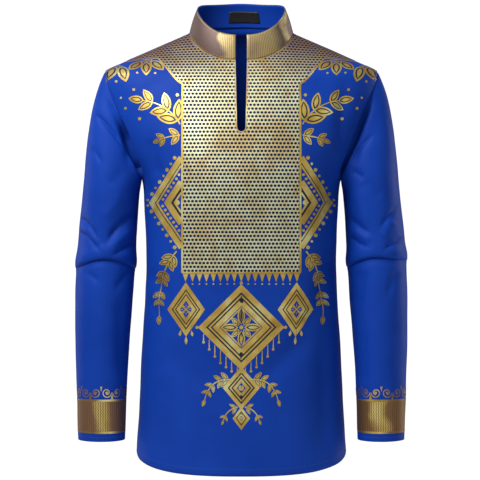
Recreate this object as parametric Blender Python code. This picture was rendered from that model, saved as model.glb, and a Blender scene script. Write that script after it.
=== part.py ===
"""A long-sleeved dashiki shirt as it hangs when it is worn, empty: cloth walls of true shape.

Metres, +Z up. The origin is where the wearer holds the shirt: midway between the two points where the
shoulder seams meet the collar. The shirt's front faces -Y, and its left sleeve is at +X. Its cloth is
first laid out as one skin, the outer face of every panel. The skin is then cut along its seams, and each
panel gets its wall. A sleeve is one cut piece, and its solid is parted in two under the fold at the elbow.
Tables and named sizes are in millimetres.
"""

import math

import bmesh
import bpy
from mathutils import Vector

MM = 0.001

# Driving dimensions
CLOTH = 1.2  # wall of the shirt's cloth, with its seam allowances
COLLAR_PLY = 1.0  # each of the collar's two interfaced plies
LABEL_PLY = 0.8
LABEL_GAP = 0.6  # clear of the collar's facets too
SEAM_GAP = 0.3  # between two pieces that are sewn together
PLY_GAP = 0.45  # between the collar's two plies, measured where the collar is straight

HEM_CENTRE = -751  # height of the hem at centre front and back
HEM_SIDE = -710  # height of the curved hem at the side seams
HEM_CURVE = 2.26
ARMPIT = -249
SHOULDER_TIP = -65
ARMHOLE_FRONT = 20  # how far the armhole bites into each panel, in degrees round the torso
ARMHOLE_BACK = 20
ARMHOLE_FULLNESS = 0.65  # under 1, the armhole is broad at the armpit and at the shoulder tip

SLIT_BOTTOM = -170
SLIT_HALF_TOP = 9.2
SLIT_HALF_BOTTOM = 6.6
SLIT_END_ROWS = 2  # rows that the slit's round end takes

NECK_HALF_WIDTH = 88
NECK_FRONT = -48  # heights of the collar's base at centre front, at the shoulder seams and at centre back
NECK_SIDE = 0
NECK_BACK = 10

COLLAR_HALF_WIDTH = 75  # the collar's upper edge
COLLAR_FRONT_Y = -50
COLLAR_BACK_Y = 52
COLLAR_FRONT = -5
COLLAR_SIDE = 40
COLLAR_BACK = 52
COLLAR_BELLY = 1.5  # the band bows outwards this much half-way up

LABEL_WIDTH = 53
LABEL_CENTRE_X = 5
LABEL_LOW = 0.22  # of the collar's height
LABEL_HIGH = 0.62

# Sections of the torso: half width at the side seams, depth of the front and of the back measured from the
# side seam, the side seam's place front to back, and how square the oval is (2 is an ellipse).
TORSO = (
    # height, half_width, front, back, seam_y, square
    (-760, 181.5, 121, 119, 0, 2.25),
    (-700, 178, 120, 117, 0, 2.25),
    (-625, 173.5, 119, 113, 0, 2.25),
    (-545, 170, 119, 109, 0, 2.25),
    (-453, 164, 121, 106, 0, 2.25),
    (-380, 162, 126, 109, 0, 2.3),
    (-310, 164.5, 130, 115, 0, 2.35),
    (-249, 170, 131, 119, 0, 2.35),
    (-203, 191, 125, 119, 1, 2.35),
    (-157, 212, 113, 115, 2, 2.35),
    (-111, 230, 96, 108, 3, 2.35),
    (-80, 236, 83, 101, 4, 2.35),
    (-65, 232, 74, 95, 5, 2.3),
    (-50, 200, 63, 88, 6, 2.2),
    (-35, 166, 49, 81, 7, 2.1),
    (-20, 132, 37, 72, 8, 2),
    (-6, 100, 22, 60, 8, 2),
    (0, 88.5, 14, 53, 8, 2),
    (14, 86, 10, 51, 8, 2),
)

# Sections of the sleeve below the armpit, seen from the front and from the side
SLEEVE = (
    # height, inner_x, outer_x, front_y, back_y
    (-700, 197.5, 277, -60, 12),
    (-618, 195, 279.5, -62, 27),
    (-533, 190.4, 282.5, -63, 42),
    (-453, 184.5, 283, -61, 54),
    (-397, 181.5, 281.5, -59, 60),
    (-337, 178, 277.5, -60, 64),
    (-275, 173, 270.5, -62, 64),
    (-240, 170, 268, -62, 64),
)
SLEEVE_TOP = -275  # the first level section below the shaped head of the sleeve
HEAD_LEAVES = (0.25, -0.14, -0.92)  # the way the sleeve's head leaves the armhole: outwards, forwards, up
HEAD_FLARE = 0.2  # more outwards than that at the shoulder, and less at the armpit

# The deep fold round each elbow, where the upper sleeve hangs over the lower one
ELBOW = {
    # side: height in front, drop towards the inner edge, drop towards the outer edge
    "left": (-379, 17, 6),
    "right": (-382, 16, 16),
}
ELBOW_FORMS = (
    # form, size, how far above the fold, reach up and down
    ("swell", 4.5, 7, 15),
    ("trough", 4.0, -6, 8),
    ("lip", 3.5, 2, 5),
)
ELBOW_SIDE_SHARE = 0.65  # how strong the fold is at the sleeve's edges
ELBOW_FRONT_SHARE = 0.35  # and how much stronger in front, and weaker behind
ELBOW_DROP_REACH = 60

# Soft folds of the body, as troughs between two points of a panel. Width is half the trough's breadth.
FOLD_END_SHARE = 0.35  # a trough's depth at its two ends
FOLDS = (
    # panel, from_x, from_z, to_x, to_z, width, depth
    ("front", -158, -190, -142, -262, 13, 4),
    ("front", 156, -388, 128, -452, 13, 4),
    ("front", 150, -430, 112, -492, 15, 3),
    ("front", 130, -512, 38, -596, 26, 4),
    ("front", 146, -520, 141, -735, 24, 6),
    ("front", -146, -575, -141, -735, 22, 4),
    ("back", 70, -300, 92, -735, 34, 6),
    ("back", -62, -330, -84, -735, 34, 5),
    ("back", 0, -470, 6, -735, 30, 4),
    ("back", 150, -392, 70, -430, 14, 4),
    ("back", -150, -405, -78, -438, 14, 4),
)

# How finely each stretch is divided
HALF_COLUMNS = 12
BODY_ROWS = 16
ARMHOLE_ROWS = 10
SHOULDER_ROWS = 6
SLIT_ROW = 4  # the armhole row that meets the slit's bottom
TIP_ROW_FRONT = -76  # height at the centre line of the row that ends at the shoulder tip
TIP_ROW_BACK = -62
CAP_ROWS = 8
COLLAR_ROWS = 3
UPPER_LEVELS = (-300, -325, -346, -361, -371, -377, -381, -384, -389)
LOWER_LEVELS = (-398, -414, -440, -474, -510, -548, -586, -622, -656, -688)
LABEL_COLUMNS = 8
LABEL_ROWS = 3
MOST_SHELL_FACTOR = 1.8  # keeps the wall from growing thick where the skin turns sharply

SLEEVES = ("sleeve_left_upper", "sleeve_left_lower", "sleeve_right_upper", "sleeve_right_lower")
PIECES = ("front", "back", "collar", *SLEEVES)


# ---------------------------------------------------------------- reading the tables
def read(table, at):
    """The row of a table at this height, by a smooth curve through its rows, as a list without the height."""
    last = len(table) - 2
    spot = next((i for i in range(last) if at <= table[i + 1][0]), last)

    def slope(i, column):
        low, high = table[max(i - 1, 0)], table[min(i + 1, len(table) - 1)]
        return (high[column] - low[column]) / (high[0] - low[0])

    start, end = table[spot], table[spot + 1]
    span = end[0] - start[0]
    t = (at - start[0]) / span
    values = []
    for column in range(1, len(start)):
        rise = (1 + 2 * t) * (1 - t) ** 2 * start[column] + t * t * (3 - 2 * t) * end[column]
        lean = t * (1 - t) ** 2 * slope(spot, column) - t * t * (1 - t) * slope(spot + 1, column)
        values.append(rise + lean * span)
    return values


def mix(a, b, t):
    return a + (b - a) * t


def ease(t):
    t = min(max(t, 0), 1)
    return t * t * (3 - 2 * t)


# ---------------------------------------------------------------- the torso's form
def torso(angle, height):
    """A point of the torso's skin. The angle is in degrees: 0 at centre front, 90 at the side, 180 behind."""
    half_width, front, back, seam_y, square = read(TORSO, height)
    side, ahead = math.sin(math.radians(angle)), math.cos(math.radians(angle))
    power = 2 / square
    depth = -front if ahead > 0 else back
    return Vector((half_width * abs(side) ** power, seam_y + depth * abs(ahead) ** power, height))


def angle_at(x, height, behind=False):
    """The angle at which the torso's section at this height is x wide."""
    half_width, _, _, _, square = read(TORSO, height)
    angle = math.degrees(math.asin(min(x / half_width, 1) ** (square / 2)))
    return 180 - angle if behind else angle


def ring_height(front, side, back, turn):
    """Height of a ring round the neck, from its heights in front, at the sides and behind."""
    middle = (front + back) / 2
    forward, across = math.cos(math.radians(turn)), math.sin(math.radians(turn))
    return middle + (front - middle) * forward + (side - middle) * across**3


def neck_spot(turn):
    """(angle, height) of the neckline on the torso, at a turn round the neck."""
    height = ring_height(NECK_FRONT, NECK_SIDE, NECK_BACK, turn)
    width = NECK_HALF_WIDTH * math.sin(math.radians(turn))
    return angle_at(width, height, behind=turn > 90), height


def armhole_spot(turn, behind):
    """(angle, height) of the armhole, from the armpit at 0 to the shoulder tip at 180."""
    bite = ARMHOLE_BACK if behind else ARMHOLE_FRONT
    middle = (ARMPIT + SHOULDER_TIP) / 2
    angle = 90 - bite * abs(math.sin(math.radians(turn))) ** ARMHOLE_FULLNESS
    height = middle + (ARMPIT - middle) * math.cos(math.radians(turn))
    return (180 - angle if behind else angle), height


def slit_half_width(height):
    """Half the slit's width at a height above its round end."""
    up = (height - SLIT_BOTTOM) / (NECK_FRONT - SLIT_BOTTOM)
    return mix(SLIT_HALF_BOTTOM, SLIT_HALF_TOP, up)


# ---------------------------------------------------------------- rows and columns of a body panel
def hem_height(angle):
    from_centre = min(angle, 180 - angle) / 90
    return mix(HEM_CENTRE, HEM_SIDE, from_centre**HEM_CURVE)


def centre_edge(row, behind):
    """(angle, height) where a row meets the centre line, or the slit's edge."""
    to_armpit = BODY_ROWS
    to_tip = to_armpit + ARMHOLE_ROWS
    to_neck = to_tip + SHOULDER_ROWS
    if behind:
        stops = ((0, HEM_CENTRE), (to_armpit, ARMPIT), (to_tip, TIP_ROW_BACK), (to_neck, NECK_BACK))
    else:
        top = ring_height(NECK_FRONT, NECK_SIDE, NECK_BACK, neck_start())
        end = to_armpit + SLIT_ROW
        stops = ((0, HEM_CENTRE), (to_armpit, ARMPIT), (end, SLIT_BOTTOM),
                 (end + SLIT_END_ROWS, SLIT_BOTTOM + SLIT_HALF_BOTTOM), (to_tip, TIP_ROW_FRONT), (to_neck, top))
        if end < row <= end + SLIT_END_ROWS:
            turn = math.radians(90 * (row - end) / SLIT_END_ROWS)
            height = SLIT_BOTTOM + SLIT_HALF_BOTTOM * (1 - math.cos(turn))
            return angle_at(SLIT_HALF_BOTTOM * math.sin(turn), height), height
    low, high = next(pair for pair in zip(stops, stops[1:]) if row <= pair[1][0])
    height = mix(low[1], high[1], (row - low[0]) / (high[0] - low[0]))
    if behind:
        return 180, height
    return (angle_at(slit_half_width(height), height) if row > to_armpit + SLIT_ROW else 0), height


def side_edge(row, behind):
    """(angle, height) where a row meets the side seam, the armhole or the shoulder seam."""
    if row <= BODY_ROWS:
        return 90, mix(HEM_SIDE, ARMPIT, row / BODY_ROWS)
    row -= BODY_ROWS
    if row <= ARMHOLE_ROWS:
        return armhole_spot(180 * row / ARMHOLE_ROWS, behind)
    return 90, mix(SHOULDER_TIP, NECK_SIDE, (row - ARMHOLE_ROWS) / SHOULDER_ROWS)


def neck_start():
    """The turn round the neck at which the slit's edge lies."""
    return math.degrees(math.asin(SLIT_HALF_TOP / NECK_HALF_WIDTH))


def panel_spot(row, across, behind):
    """(angle, height) of a body panel, at a row and from 0 at the centre to 1 at the side."""
    centre, side = centre_edge(row, behind), side_edge(row, behind)
    angle, height = (mix(c, s, across) for c, s in zip(centre, side))
    if row < BODY_ROWS:
        bow = hem_height(angle) - mix(HEM_CENTRE, HEM_SIDE, across)
        height += bow * (1 - row / BODY_ROWS) ** 2
    over = (row - BODY_ROWS - ARMHOLE_ROWS) / SHOULDER_ROWS
    if over > 0:
        first = 180 if behind else neck_start()
        curve, start = neck_spot(mix(first, 90, across)), neck_spot(first)
        end = (90, NECK_SIDE)
        angle += over * (curve[0] - mix(start[0], end[0], across))
        height += over * (curve[1] - mix(start[1], end[1], across))
    return angle, height


# ---------------------------------------------------------------- the sleeve's form
def sleeve_ring(height, turn, side):
    """A point of a sleeve at +X. The turn is 0 at the inner edge, 90 in front and 180 at the outer edge."""
    inner, outer, front_y, back_y = read(SLEEVE, height)
    out, ahead = -math.cos(math.radians(turn)), math.sin(math.radians(turn))
    centre = Vector(((inner + outer) / 2, (front_y + back_y) / 2, height))
    reach = Vector(((outer - inner) / 2 * out, (front_y - back_y) / 2 * ahead, 0))
    level, inner_drop, outer_drop = ELBOW[side]
    above = height - level
    strength = ELBOW_SIDE_SHARE + ELBOW_FRONT_SHARE * ahead
    form = {name: size * math.exp(-(((above - up) / span) ** 2)) for name, size, up, span in ELBOW_FORMS}
    slant = math.exp(-((above / ELBOW_DROP_REACH) ** 2))
    drop = (outer_drop if out > 0 else inner_drop) * out * out * slant
    point = centre + reach + reach.normalized() * (form["swell"] - form["trough"]) * strength
    point.z -= form["lip"] * strength + drop
    return point


def sleeve_cap(armhole, across, turn, side):
    """A point of the sleeve's head, from the armhole at 0 to the first level section at 1."""
    end = sleeve_ring(SLEEVE_TOP, turn, side)
    out, ahead = -math.cos(math.radians(turn)), math.sin(math.radians(turn))
    outwards, forwards, up = HEAD_LEAVES
    leave = Vector((outwards + HEAD_FLARE * out, forwards * ahead, up)).normalized()
    arrive = (sleeve_ring(SLEEVE_TOP - 20, turn, side) - end).normalized()
    length = (end - armhole).length
    t = across
    point = armhole * ((1 + 2 * t) * (1 - t) ** 2) + end * (t * t * (3 - 2 * t))
    return point + (leave * (t * (1 - t) ** 2) - arrive * (t * t * (1 - t))) * length


# ---------------------------------------------------------------- building the skin
def column_share(column):
    """How far a column lies from the centre, 0, to the side, 1. Columns are closer near the side."""
    share = column / HALF_COLUMNS
    return (share + math.sin(math.radians(90 * share))) / 2


def grid(skin, columns, rows, place, piece_of_row, wrap=False):
    """Adds a grid of quads whose points place(column, row) gives, each marked with its row's piece."""
    points = [[skin.verts.new(place(c, r) * MM) for c in range(columns + (not wrap))] for r in range(rows + 1)]
    for r in range(rows):
        for c in range(columns):
            after = (c + 1) % len(points[r])
            face = skin.faces.new((points[r][c], points[r][after], points[r + 1][after], points[r + 1][c]))
            face.material_index = PIECES.index(piece_of_row(r))


def add_body_panel(skin, piece):
    behind = piece == "back"

    def place(column, row):
        return torso(*panel_spot(row, column_share(column), behind))

    grid(skin, HALF_COLUMNS, BODY_ROWS + ARMHOLE_ROWS + SHOULDER_ROWS, place, lambda row: piece)


def add_sleeve(skin, side):
    around = 2 * ARMHOLE_ROWS
    levels = UPPER_LEVELS + LOWER_LEVELS

    def place(column, row):
        turn = 360 * column / around
        if row > CAP_ROWS:
            point = sleeve_ring(levels[row - CAP_ROWS - 1], turn, side)
        else:
            behind = turn > 180
            armhole = torso(*armhole_spot(360 - turn if behind else turn, behind))
            point = sleeve_cap(armhole, row / CAP_ROWS, turn, side)
        if side == "right":
            point.x = -point.x
        return point

    def piece_of_row(row):
        return f"sleeve_{side}_upper" if row < CAP_ROWS + len(UPPER_LEVELS) else f"sleeve_{side}_lower"

    grid(skin, around, CAP_ROWS + len(levels), place, piece_of_row, wrap=True)


def collar_point(turn, up):
    """A point of the stand collar, at a turn round the neck, from its base at 0 to its edge at 1."""
    base = torso(*neck_spot(turn))
    across, forward = math.sin(math.radians(turn)), math.cos(math.radians(turn))
    depth = COLLAR_FRONT_Y if forward > 0 else COLLAR_BACK_Y
    edge = Vector((
        COLLAR_HALF_WIDTH * across,
        depth * abs(forward),
        ring_height(COLLAR_FRONT, COLLAR_SIDE, COLLAR_BACK, turn),
    ))
    if forward > 0:
        edge.x = mix(edge.x, base.x, forward**12)  # the two ends stand upright beside the slit
    out = Vector((across, -forward, 0))
    return base.lerp(edge, up) + out * (COLLAR_BELLY * 4 * up * (1 - up))


def add_collar(skin):
    def place(column, row):
        if column <= HALF_COLUMNS:
            turn = mix(neck_start(), 90, column_share(column))
        else:
            turn = mix(180, 90, column_share(2 * HALF_COLUMNS - column))
        return collar_point(turn, row / COLLAR_ROWS)

    grid(skin, 2 * HALF_COLUMNS, COLLAR_ROWS, place, lambda row: "collar")


def trough(point, fold):
    """How deep a fold presses the cloth in at a point."""
    _, from_x, from_z, to_x, to_z, width, depth = fold
    start, run = Vector((from_x, from_z)), Vector((to_x - from_x, to_z - from_z))
    away = Vector((point.x, point.z)) / MM - start
    along = away.dot(run) / run.length_squared
    off = (away - run * min(max(along, 0), 1)).length
    fade = ease(1 - 2 * abs(along - 0.5)) if 0 < along < 1 else 0
    return depth * mix(FOLD_END_SHARE, 1, fade) * math.exp(-((off / width) ** 2))


def press_folds(skin):
    skin.normal_update()
    moves = []
    for vertex in skin.verts:
        pieces = {PIECES[face.material_index] for face in vertex.link_faces}
        if pieces == {"front"} or pieces == {"back"}:
            depth = sum(trough(vertex.co, fold) for fold in FOLDS if fold[0] in pieces)
            moves.append((vertex, vertex.normal * -depth * MM))
    for vertex, move in moves:
        vertex.co += move


def make_skin():
    """The outer face of the whole shirt, each face marked with its piece and each seam's edges marked."""
    skin = bmesh.new()
    add_body_panel(skin, "front")
    add_body_panel(skin, "back")
    add_collar(skin)
    bmesh.ops.mirror(skin, geom=skin.faces[:] + skin.edges[:] + skin.verts[:], axis="X", merge_dist=0.01 * MM)
    add_sleeve(skin, "left")
    add_sleeve(skin, "right")
    bmesh.ops.remove_doubles(skin, verts=skin.verts[:], dist=0.01 * MM)
    bmesh.ops.recalc_face_normals(skin, faces=skin.faces[:])
    press_folds(skin)
    skin.normal_update()
    inward = skin.verts.layers.float_vector.new("inward")
    for vertex in skin.verts:
        vertex[inward] = vertex.normal * -min(vertex.calc_shell_factor(), MOST_SHELL_FACTOR)
    lay_seam_pulls(skin)
    return skin


# ---------------------------------------------------------------- cutting the skin into pieces
def lay_seam_pulls(skin):
    """Keeps on each point of a seam, for each of its pieces, the way from the other pieces."""
    layers = {piece: skin.verts.layers.float_vector.new("from_seam_" + piece) for piece in PIECES}
    ways = {}
    for edge in skin.edges:
        if len(edge.link_faces) < 2:
            continue
        inward = []
        for face in edge.link_faces:
            way = face.normal.cross(edge.verts[1].co - edge.verts[0].co).normalized()
            towards = face.calc_center_median() - edge.verts[0].co
            inward.append(way if way.dot(towards) > 0 else -way)
        first, second = (PIECES[face.material_index] for face in edge.link_faces)
        if first != second:
            apart = (inward[0] - inward[1]).normalized()
            for vertex in edge.verts:
                ways.setdefault((vertex, first), []).append(apart)
                ways.setdefault((vertex, second), []).append(-apart)
    for (vertex, piece), found in ways.items():
        total = sum(found, Vector())
        vertex[layers[piece]] = total * (len(found) / max(total.length_squared, 0.5))


def cut_wall(skin, piece, thickness, depth=0):
    """One piece as a closed wall, whose outer face lies at a depth below the skin."""
    wall = skin.copy()
    inward = wall.verts.layers.float_vector["inward"]
    from_seam = wall.verts.layers.float_vector["from_seam_" + piece]
    others = [face for face in wall.faces if PIECES[face.material_index] != piece]
    bmesh.ops.delete(wall, geom=others, context="FACES")
    for vertex in wall.verts:
        vertex.co += (vertex[from_seam] * SEAM_GAP / 2 + vertex[inward] * depth) * MM
    outer = set(wall.faces)
    inner = bmesh.ops.extrude_face_region(wall, geom=wall.faces[:], use_keep_orig=True)["geom"]
    for vertex in (item for item in inner if isinstance(item, bmesh.types.BMVert)):
        vertex.co += vertex[inward] * thickness * MM
    rim = [face for face in wall.faces if face not in outer and face not in inner]
    bmesh.ops.triangulate(wall, faces=rim, quad_method="SHORT_EDGE")
    for face in wall.faces:
        face.material_index = 0
    bmesh.ops.recalc_face_normals(wall, faces=wall.faces[:])
    return wall


def make_label():
    """The label's wall, moved inwards from the collar's own points at the back of the neck."""
    wall = bmesh.new()
    columns, rows = LABEL_COLUMNS, LABEL_ROWS
    inset = 2 * COLLAR_PLY + PLY_GAP + LABEL_GAP

    def spot(column, row, inset):
        x = LABEL_CENTRE_X + mix(-0.5, 0.5, column / columns) * LABEL_WIDTH
        turn = 180 - math.degrees(math.asin(abs(x) / NECK_HALF_WIDTH))
        up = mix(LABEL_LOW, LABEL_HIGH, row / rows)
        point = collar_point(turn, up)
        rise, side = collar_point(turn, up + 0.01) - point, collar_point(turn - 1, up) - point
        point -= rise.cross(side).normalized() * inset
        point.x = math.copysign(point.x, x)
        return point

    for depth in (inset, inset + LABEL_PLY):
        points = [[wall.verts.new(spot(c, r, depth) * MM) for c in range(columns + 1)] for r in range(rows + 1)]
        for r in range(rows):
            for c in range(columns):
                wall.faces.new((points[r][c], points[r][c + 1], points[r + 1][c + 1], points[r + 1][c]))
    rim = [edge for edge in wall.edges if edge.is_boundary]
    bmesh.ops.bridge_loops(wall, edges=rim)
    bmesh.ops.recalc_face_normals(wall, faces=wall.faces[:])
    return wall


# ---------------------------------------------------------------- objects and materials
def cloth_material(name, colour, roughness, metallic=0.0):
    material = bpy.data.materials.new(name)
    material.use_nodes = True
    shader = material.node_tree.nodes["Principled BSDF"]
    shader.inputs["Base Color"].default_value = (*colour, 1)
    shader.inputs["Roughness"].default_value = roughness
    shader.inputs["Metallic"].default_value = metallic
    material.diffuse_color = (*colour, 1)
    return material


def add_object(name, wall, material, parent):
    mesh = bpy.data.meshes.new(name)
    wall.to_mesh(mesh)
    wall.free()
    mesh.materials.append(material)
    mesh.shade_smooth()
    mesh.set_sharp_from_angle(angle=math.radians(40))
    piece = bpy.data.objects.new(name, mesh)
    piece.parent = parent
    bpy.context.scene.collection.objects.link(piece)


def main():
    for existing in list(bpy.data.objects):
        bpy.data.objects.remove(existing)
    blue = cloth_material("royal_blue_cloth", (0.012, 0.06, 0.42), 0.5)
    gold = cloth_material("gold_foil_print", (0.62, 0.42, 0.12), 0.35, 0.8)
    black = cloth_material("black_label", (0.01, 0.01, 0.012), 0.6)
    worn_at = bpy.data.objects.new("worn_at", None)
    bpy.context.scene.collection.objects.link(worn_at)
    skin = make_skin()
    for piece in ("front", "back", *SLEEVES):
        add_object(piece, cut_wall(skin, piece, CLOTH), blue, worn_at)
    add_object("collar_outer", cut_wall(skin, "collar", COLLAR_PLY), gold, worn_at)
    add_object("collar_inner", cut_wall(skin, "collar", COLLAR_PLY, COLLAR_PLY + PLY_GAP), blue, worn_at)
    add_object("neck_label", make_label(), black, worn_at)
    skin.free()


main()
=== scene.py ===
"""The looks of a long-sleeved dashiki shirt: cloth with its creases, gold foil print, stitching and label.

Metres, +Z up; sizes and tables here are in millimetres. The shirt's front faces -Y, and its left sleeve is
at +X. The tables of the body, the sleeves and the collar are the ones that the shirt's solids are made from.
"""
import functools
import math

import bmesh
import bpy
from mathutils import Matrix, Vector, noise


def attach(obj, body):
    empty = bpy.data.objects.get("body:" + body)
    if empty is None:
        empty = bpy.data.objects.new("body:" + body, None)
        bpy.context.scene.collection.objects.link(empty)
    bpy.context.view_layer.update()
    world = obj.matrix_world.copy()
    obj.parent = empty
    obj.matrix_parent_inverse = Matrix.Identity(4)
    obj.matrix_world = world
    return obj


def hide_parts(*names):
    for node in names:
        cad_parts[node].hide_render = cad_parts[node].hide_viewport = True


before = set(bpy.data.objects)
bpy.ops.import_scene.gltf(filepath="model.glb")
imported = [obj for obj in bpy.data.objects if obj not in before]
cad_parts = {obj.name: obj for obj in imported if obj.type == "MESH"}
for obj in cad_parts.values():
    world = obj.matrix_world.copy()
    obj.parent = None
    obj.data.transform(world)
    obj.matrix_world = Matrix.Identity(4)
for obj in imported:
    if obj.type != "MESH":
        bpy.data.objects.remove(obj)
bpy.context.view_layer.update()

MM = 0.001

# ---------------------------------------------------------------- sizes of the cut, in millimetres
CLOTH = 0.8  # the cloth with what is turned in at its edges
COLLAR_PLY = 0.8
COLLAR_LAYERS = 1.45  # from the collar's outer face to its inner ply
LABEL_PLY = 0.6

HEM_CENTRE = -751
HEM_SIDE = -710
HEM_CURVE = 2.26  # the higher, the nearer the sides the hem turns up
ARMPIT = -249
SHOULDER_TIP = -65
ARMHOLE_BITE = 20  # degrees that it cuts into the front and the back
ARMHOLE_FULLNESS = 0.65
ARMHOLE_MIDDLE = (ARMPIT + SHOULDER_TIP) / 2
ARMHOLE_HALF = ARMPIT - ARMHOLE_MIDDLE
SLIT_BOTTOM = -170
SLIT_HALF_TOP = 9.2
SLIT_HALF_BOTTOM = 6.6
NECK_HALF_WIDTH = 88
NECK_FRONT = -48
NECK_SIDE = 0
NECK_BACK = 10
RING_POWER = 3  # the higher, the shorter the sides of a ring round the neck
COLLAR_HALF_WIDTH = 75
COLLAR_FRONT_Y = -50
COLLAR_BACK_Y = 52
COLLAR_FRONT = -5
COLLAR_SIDE = 40
COLLAR_BACK = 52
COLLAR_BELLY = 1.5
COLLAR_PULL = 12  # the higher, the nearer the slit its edge is drawn in to the base
LABEL_WIDTH = 55.5
LABEL_CENTRE_X = 5
LABEL_LOW = 0.24  # of the collar's height
LABEL_HIGH = 0.69

TORSO = (
    # height, half_width, front, back, seam_y, square
    (-760, 181.5, 121, 119, 0, 2.25),
    (-700, 178, 120, 117, 0, 2.25),
    (-625, 173.5, 119, 113, 0, 2.25),
    (-545, 170, 119, 109, 0, 2.25),
    (-453, 164, 121, 106, 0, 2.25),
    (-380, 162, 126, 109, 0, 2.3),
    (-310, 164.5, 130, 115, 0, 2.35),
    (-249, 170, 131, 119, 0, 2.35),
    (-203, 191, 125, 119, 1, 2.35),
    (-157, 212, 113, 115, 2, 2.35),
    (-111, 230, 96, 108, 3, 2.35),
    (-80, 236, 83, 101, 4, 2.35),
    (-65, 232, 74, 95, 5, 2.3),
    (-50, 200, 63, 88, 6, 2.2),
    (-35, 166, 49, 81, 7, 2.1),
    (-20, 132, 37, 72, 8, 2),
    (-6, 100, 22, 60, 8, 2),
    (0, 88.5, 14, 53, 8, 2),
    (14, 86, 10, 51, 8, 2),
)
SLEEVE = (
    # height, inner_x, outer_x, front_y, back_y
    (-700, 197.5, 277, -60, 12),
    (-618, 195, 279.5, -62, 27),
    (-533, 190.4, 282.5, -63, 42),
    (-453, 184.5, 283, -61, 54),
    (-397, 181.5, 281.5, -59, 60),
    (-337, 178, 277.5, -60, 64),
    (-275, 173, 270.5, -62, 64),
    (-240, 170, 268, -62, 64),
)
SLEEVE_TOP = -275
SLEEVE_END = -691
SLEEVE_RUN = 20  # of the sleeve below its top, whose lean its head takes up
ELBOW = {
    # side: height in front, drop towards the inner edge, drop towards the outer edge
    "left": (-379, 17, 6),
    "right": (-382, 16, 16),
}
ELBOW_FORMS = (
    # form, size, how far above the fold, reach up and down
    ("swell", 4.5, 7, 15),
    ("trough", 4.0, -6, 8),
    ("lip", 3.5, 2, 5),
    ("pinch", 4.6, -2.5, 2.3),
)
ELBOW_SIDE_SHARE = 0.65  # of the forms shows at the sleeve's edges, with the rest in front
ELBOW_FRONT_SHARE = 0.35
FOLD_SIDE_SHARE = 0.12
ELBOW_DROP_REACH = 60
END_BOW = 4  # the sleeve's end is cut lower in front than behind
END_BOW_POWER = 4
HEAD_LEAVES = (0.25, -0.14, -0.92)  # the way in which cloth leaves the armhole: outwards, forwards, up
HEAD_FLARE = 0.2

# Rows of the panels as they were laid out for the solids. Here they are read in fractions of a row.
BODY_ROWS = 16
ARMHOLE_ROWS = 10
SHOULDER_ROWS = 6
SLIT_ROW = 4
SLIT_END_ROWS = 2
TIP_ROW_FRONT = -76
TIP_ROW_BACK = -62

# How finely each piece is divided
HALF_COLUMNS = 56
PANEL_STEPS = 184
SLEEVE_COLUMNS = 156
CAP_STEPS = 64
CAP_LENGTH = 200  # about how long a sleeve's head is
ARM_STEPS = 176
CLOSER = 1.35  # columns and steps lie closer towards a seam
ELBOW_CLOSER = 0.62  # and a sleeve's steps at its elbow
ELBOW_AT = 0.26  # of the way down from the head to the cuff
COLLAR_COLUMNS = 60
COLLAR_STEPS = 12
LABEL_COLUMNS = 24
LABEL_STEPS = 8
LABEL_DEPTH = 3.6  # behind the collar's outer face
SAME_POINT = 0.01  # what lies closer than this is joined
NO_LENGTH = 1e-6
NUDGE = 0.5  # to measure how the body or the collar leans, in degrees and in millimetres
COLLAR_NUDGE = 0.02  # of the collar's height
SLEEVE_NUDGE = 1  # degrees
SLEEVE_NUDGE_ALONG = 0.004

# The print, in millimetres across the cloth and up it
FOIL_LIFT = 0.25
LINE_LIFT = 0.42
INK_LIFT = 0.3
GROUND_LIFT = 0.18
INK_SHIFT = 2  # ink has its map moved below 0 by this, and the finish tells it from foil between the next two
INK_TO_FOIL = (-1.0, -0.5)
PEN_STEP = 4
PEN_WIDTH = 4.5  # wider strokes are laid in more than one strip
SHARPEST = 0.45  # a corner's mitre reaches out by 1 over this at the most
POINT = 0.5  # how wide a stroke is at its pointed end
YOKE_START = -110  # above this the front leans back, and places are measured along the cloth
CLIMB_STEPS = 30
HALVINGS = 20  # to find a height
DOT_PITCH = 6.3  # from one hole of the bib's foil to the next
DOT_ROW = 6.5
DOT_WIDTH = 5.2
DOT_HEIGHT = 4.5
DOT_SIDES = 8
DOT_GROUND = 2.9  # half the width of the dark print under each hole
DOT_MARGIN = 1  # how far a hole's middle may lie inside the slit's edge, and lies below the front's top
FOIL_INSET = 0.5  # below the front's top
FOIL_JOIN = 0.02
BIB_HALF = 99.5
BIB_FOOT = -408
YOKE_CORNER = -88
YOKE_SWEEP = 1.35  # the higher, the more the yoke's lower edge sags
YOKE_HALF = 141
YOKE_END = -30
YOKE_INSET = 0.2
YOKE_STEPS = 10
YOKE_TAIL_X = 196
YOKE_TOP = 60
BORDER = 3
YOKE_BORDER = 2.4
NECK_LINE = 2.6
NECK_INSET = 1.6
NECK_STEPS = 24
SLIT_HEM = 0.8
SLIT_LINE = 1.4
SLIT_LINE_AWAY = 1.2
BESIDE_SLIT = 10.2  # from the centre, where the lines at the slit and at the neck meet
SLIT_TURN_STEPS = 10
SLIT_STEPS = 24

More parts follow.
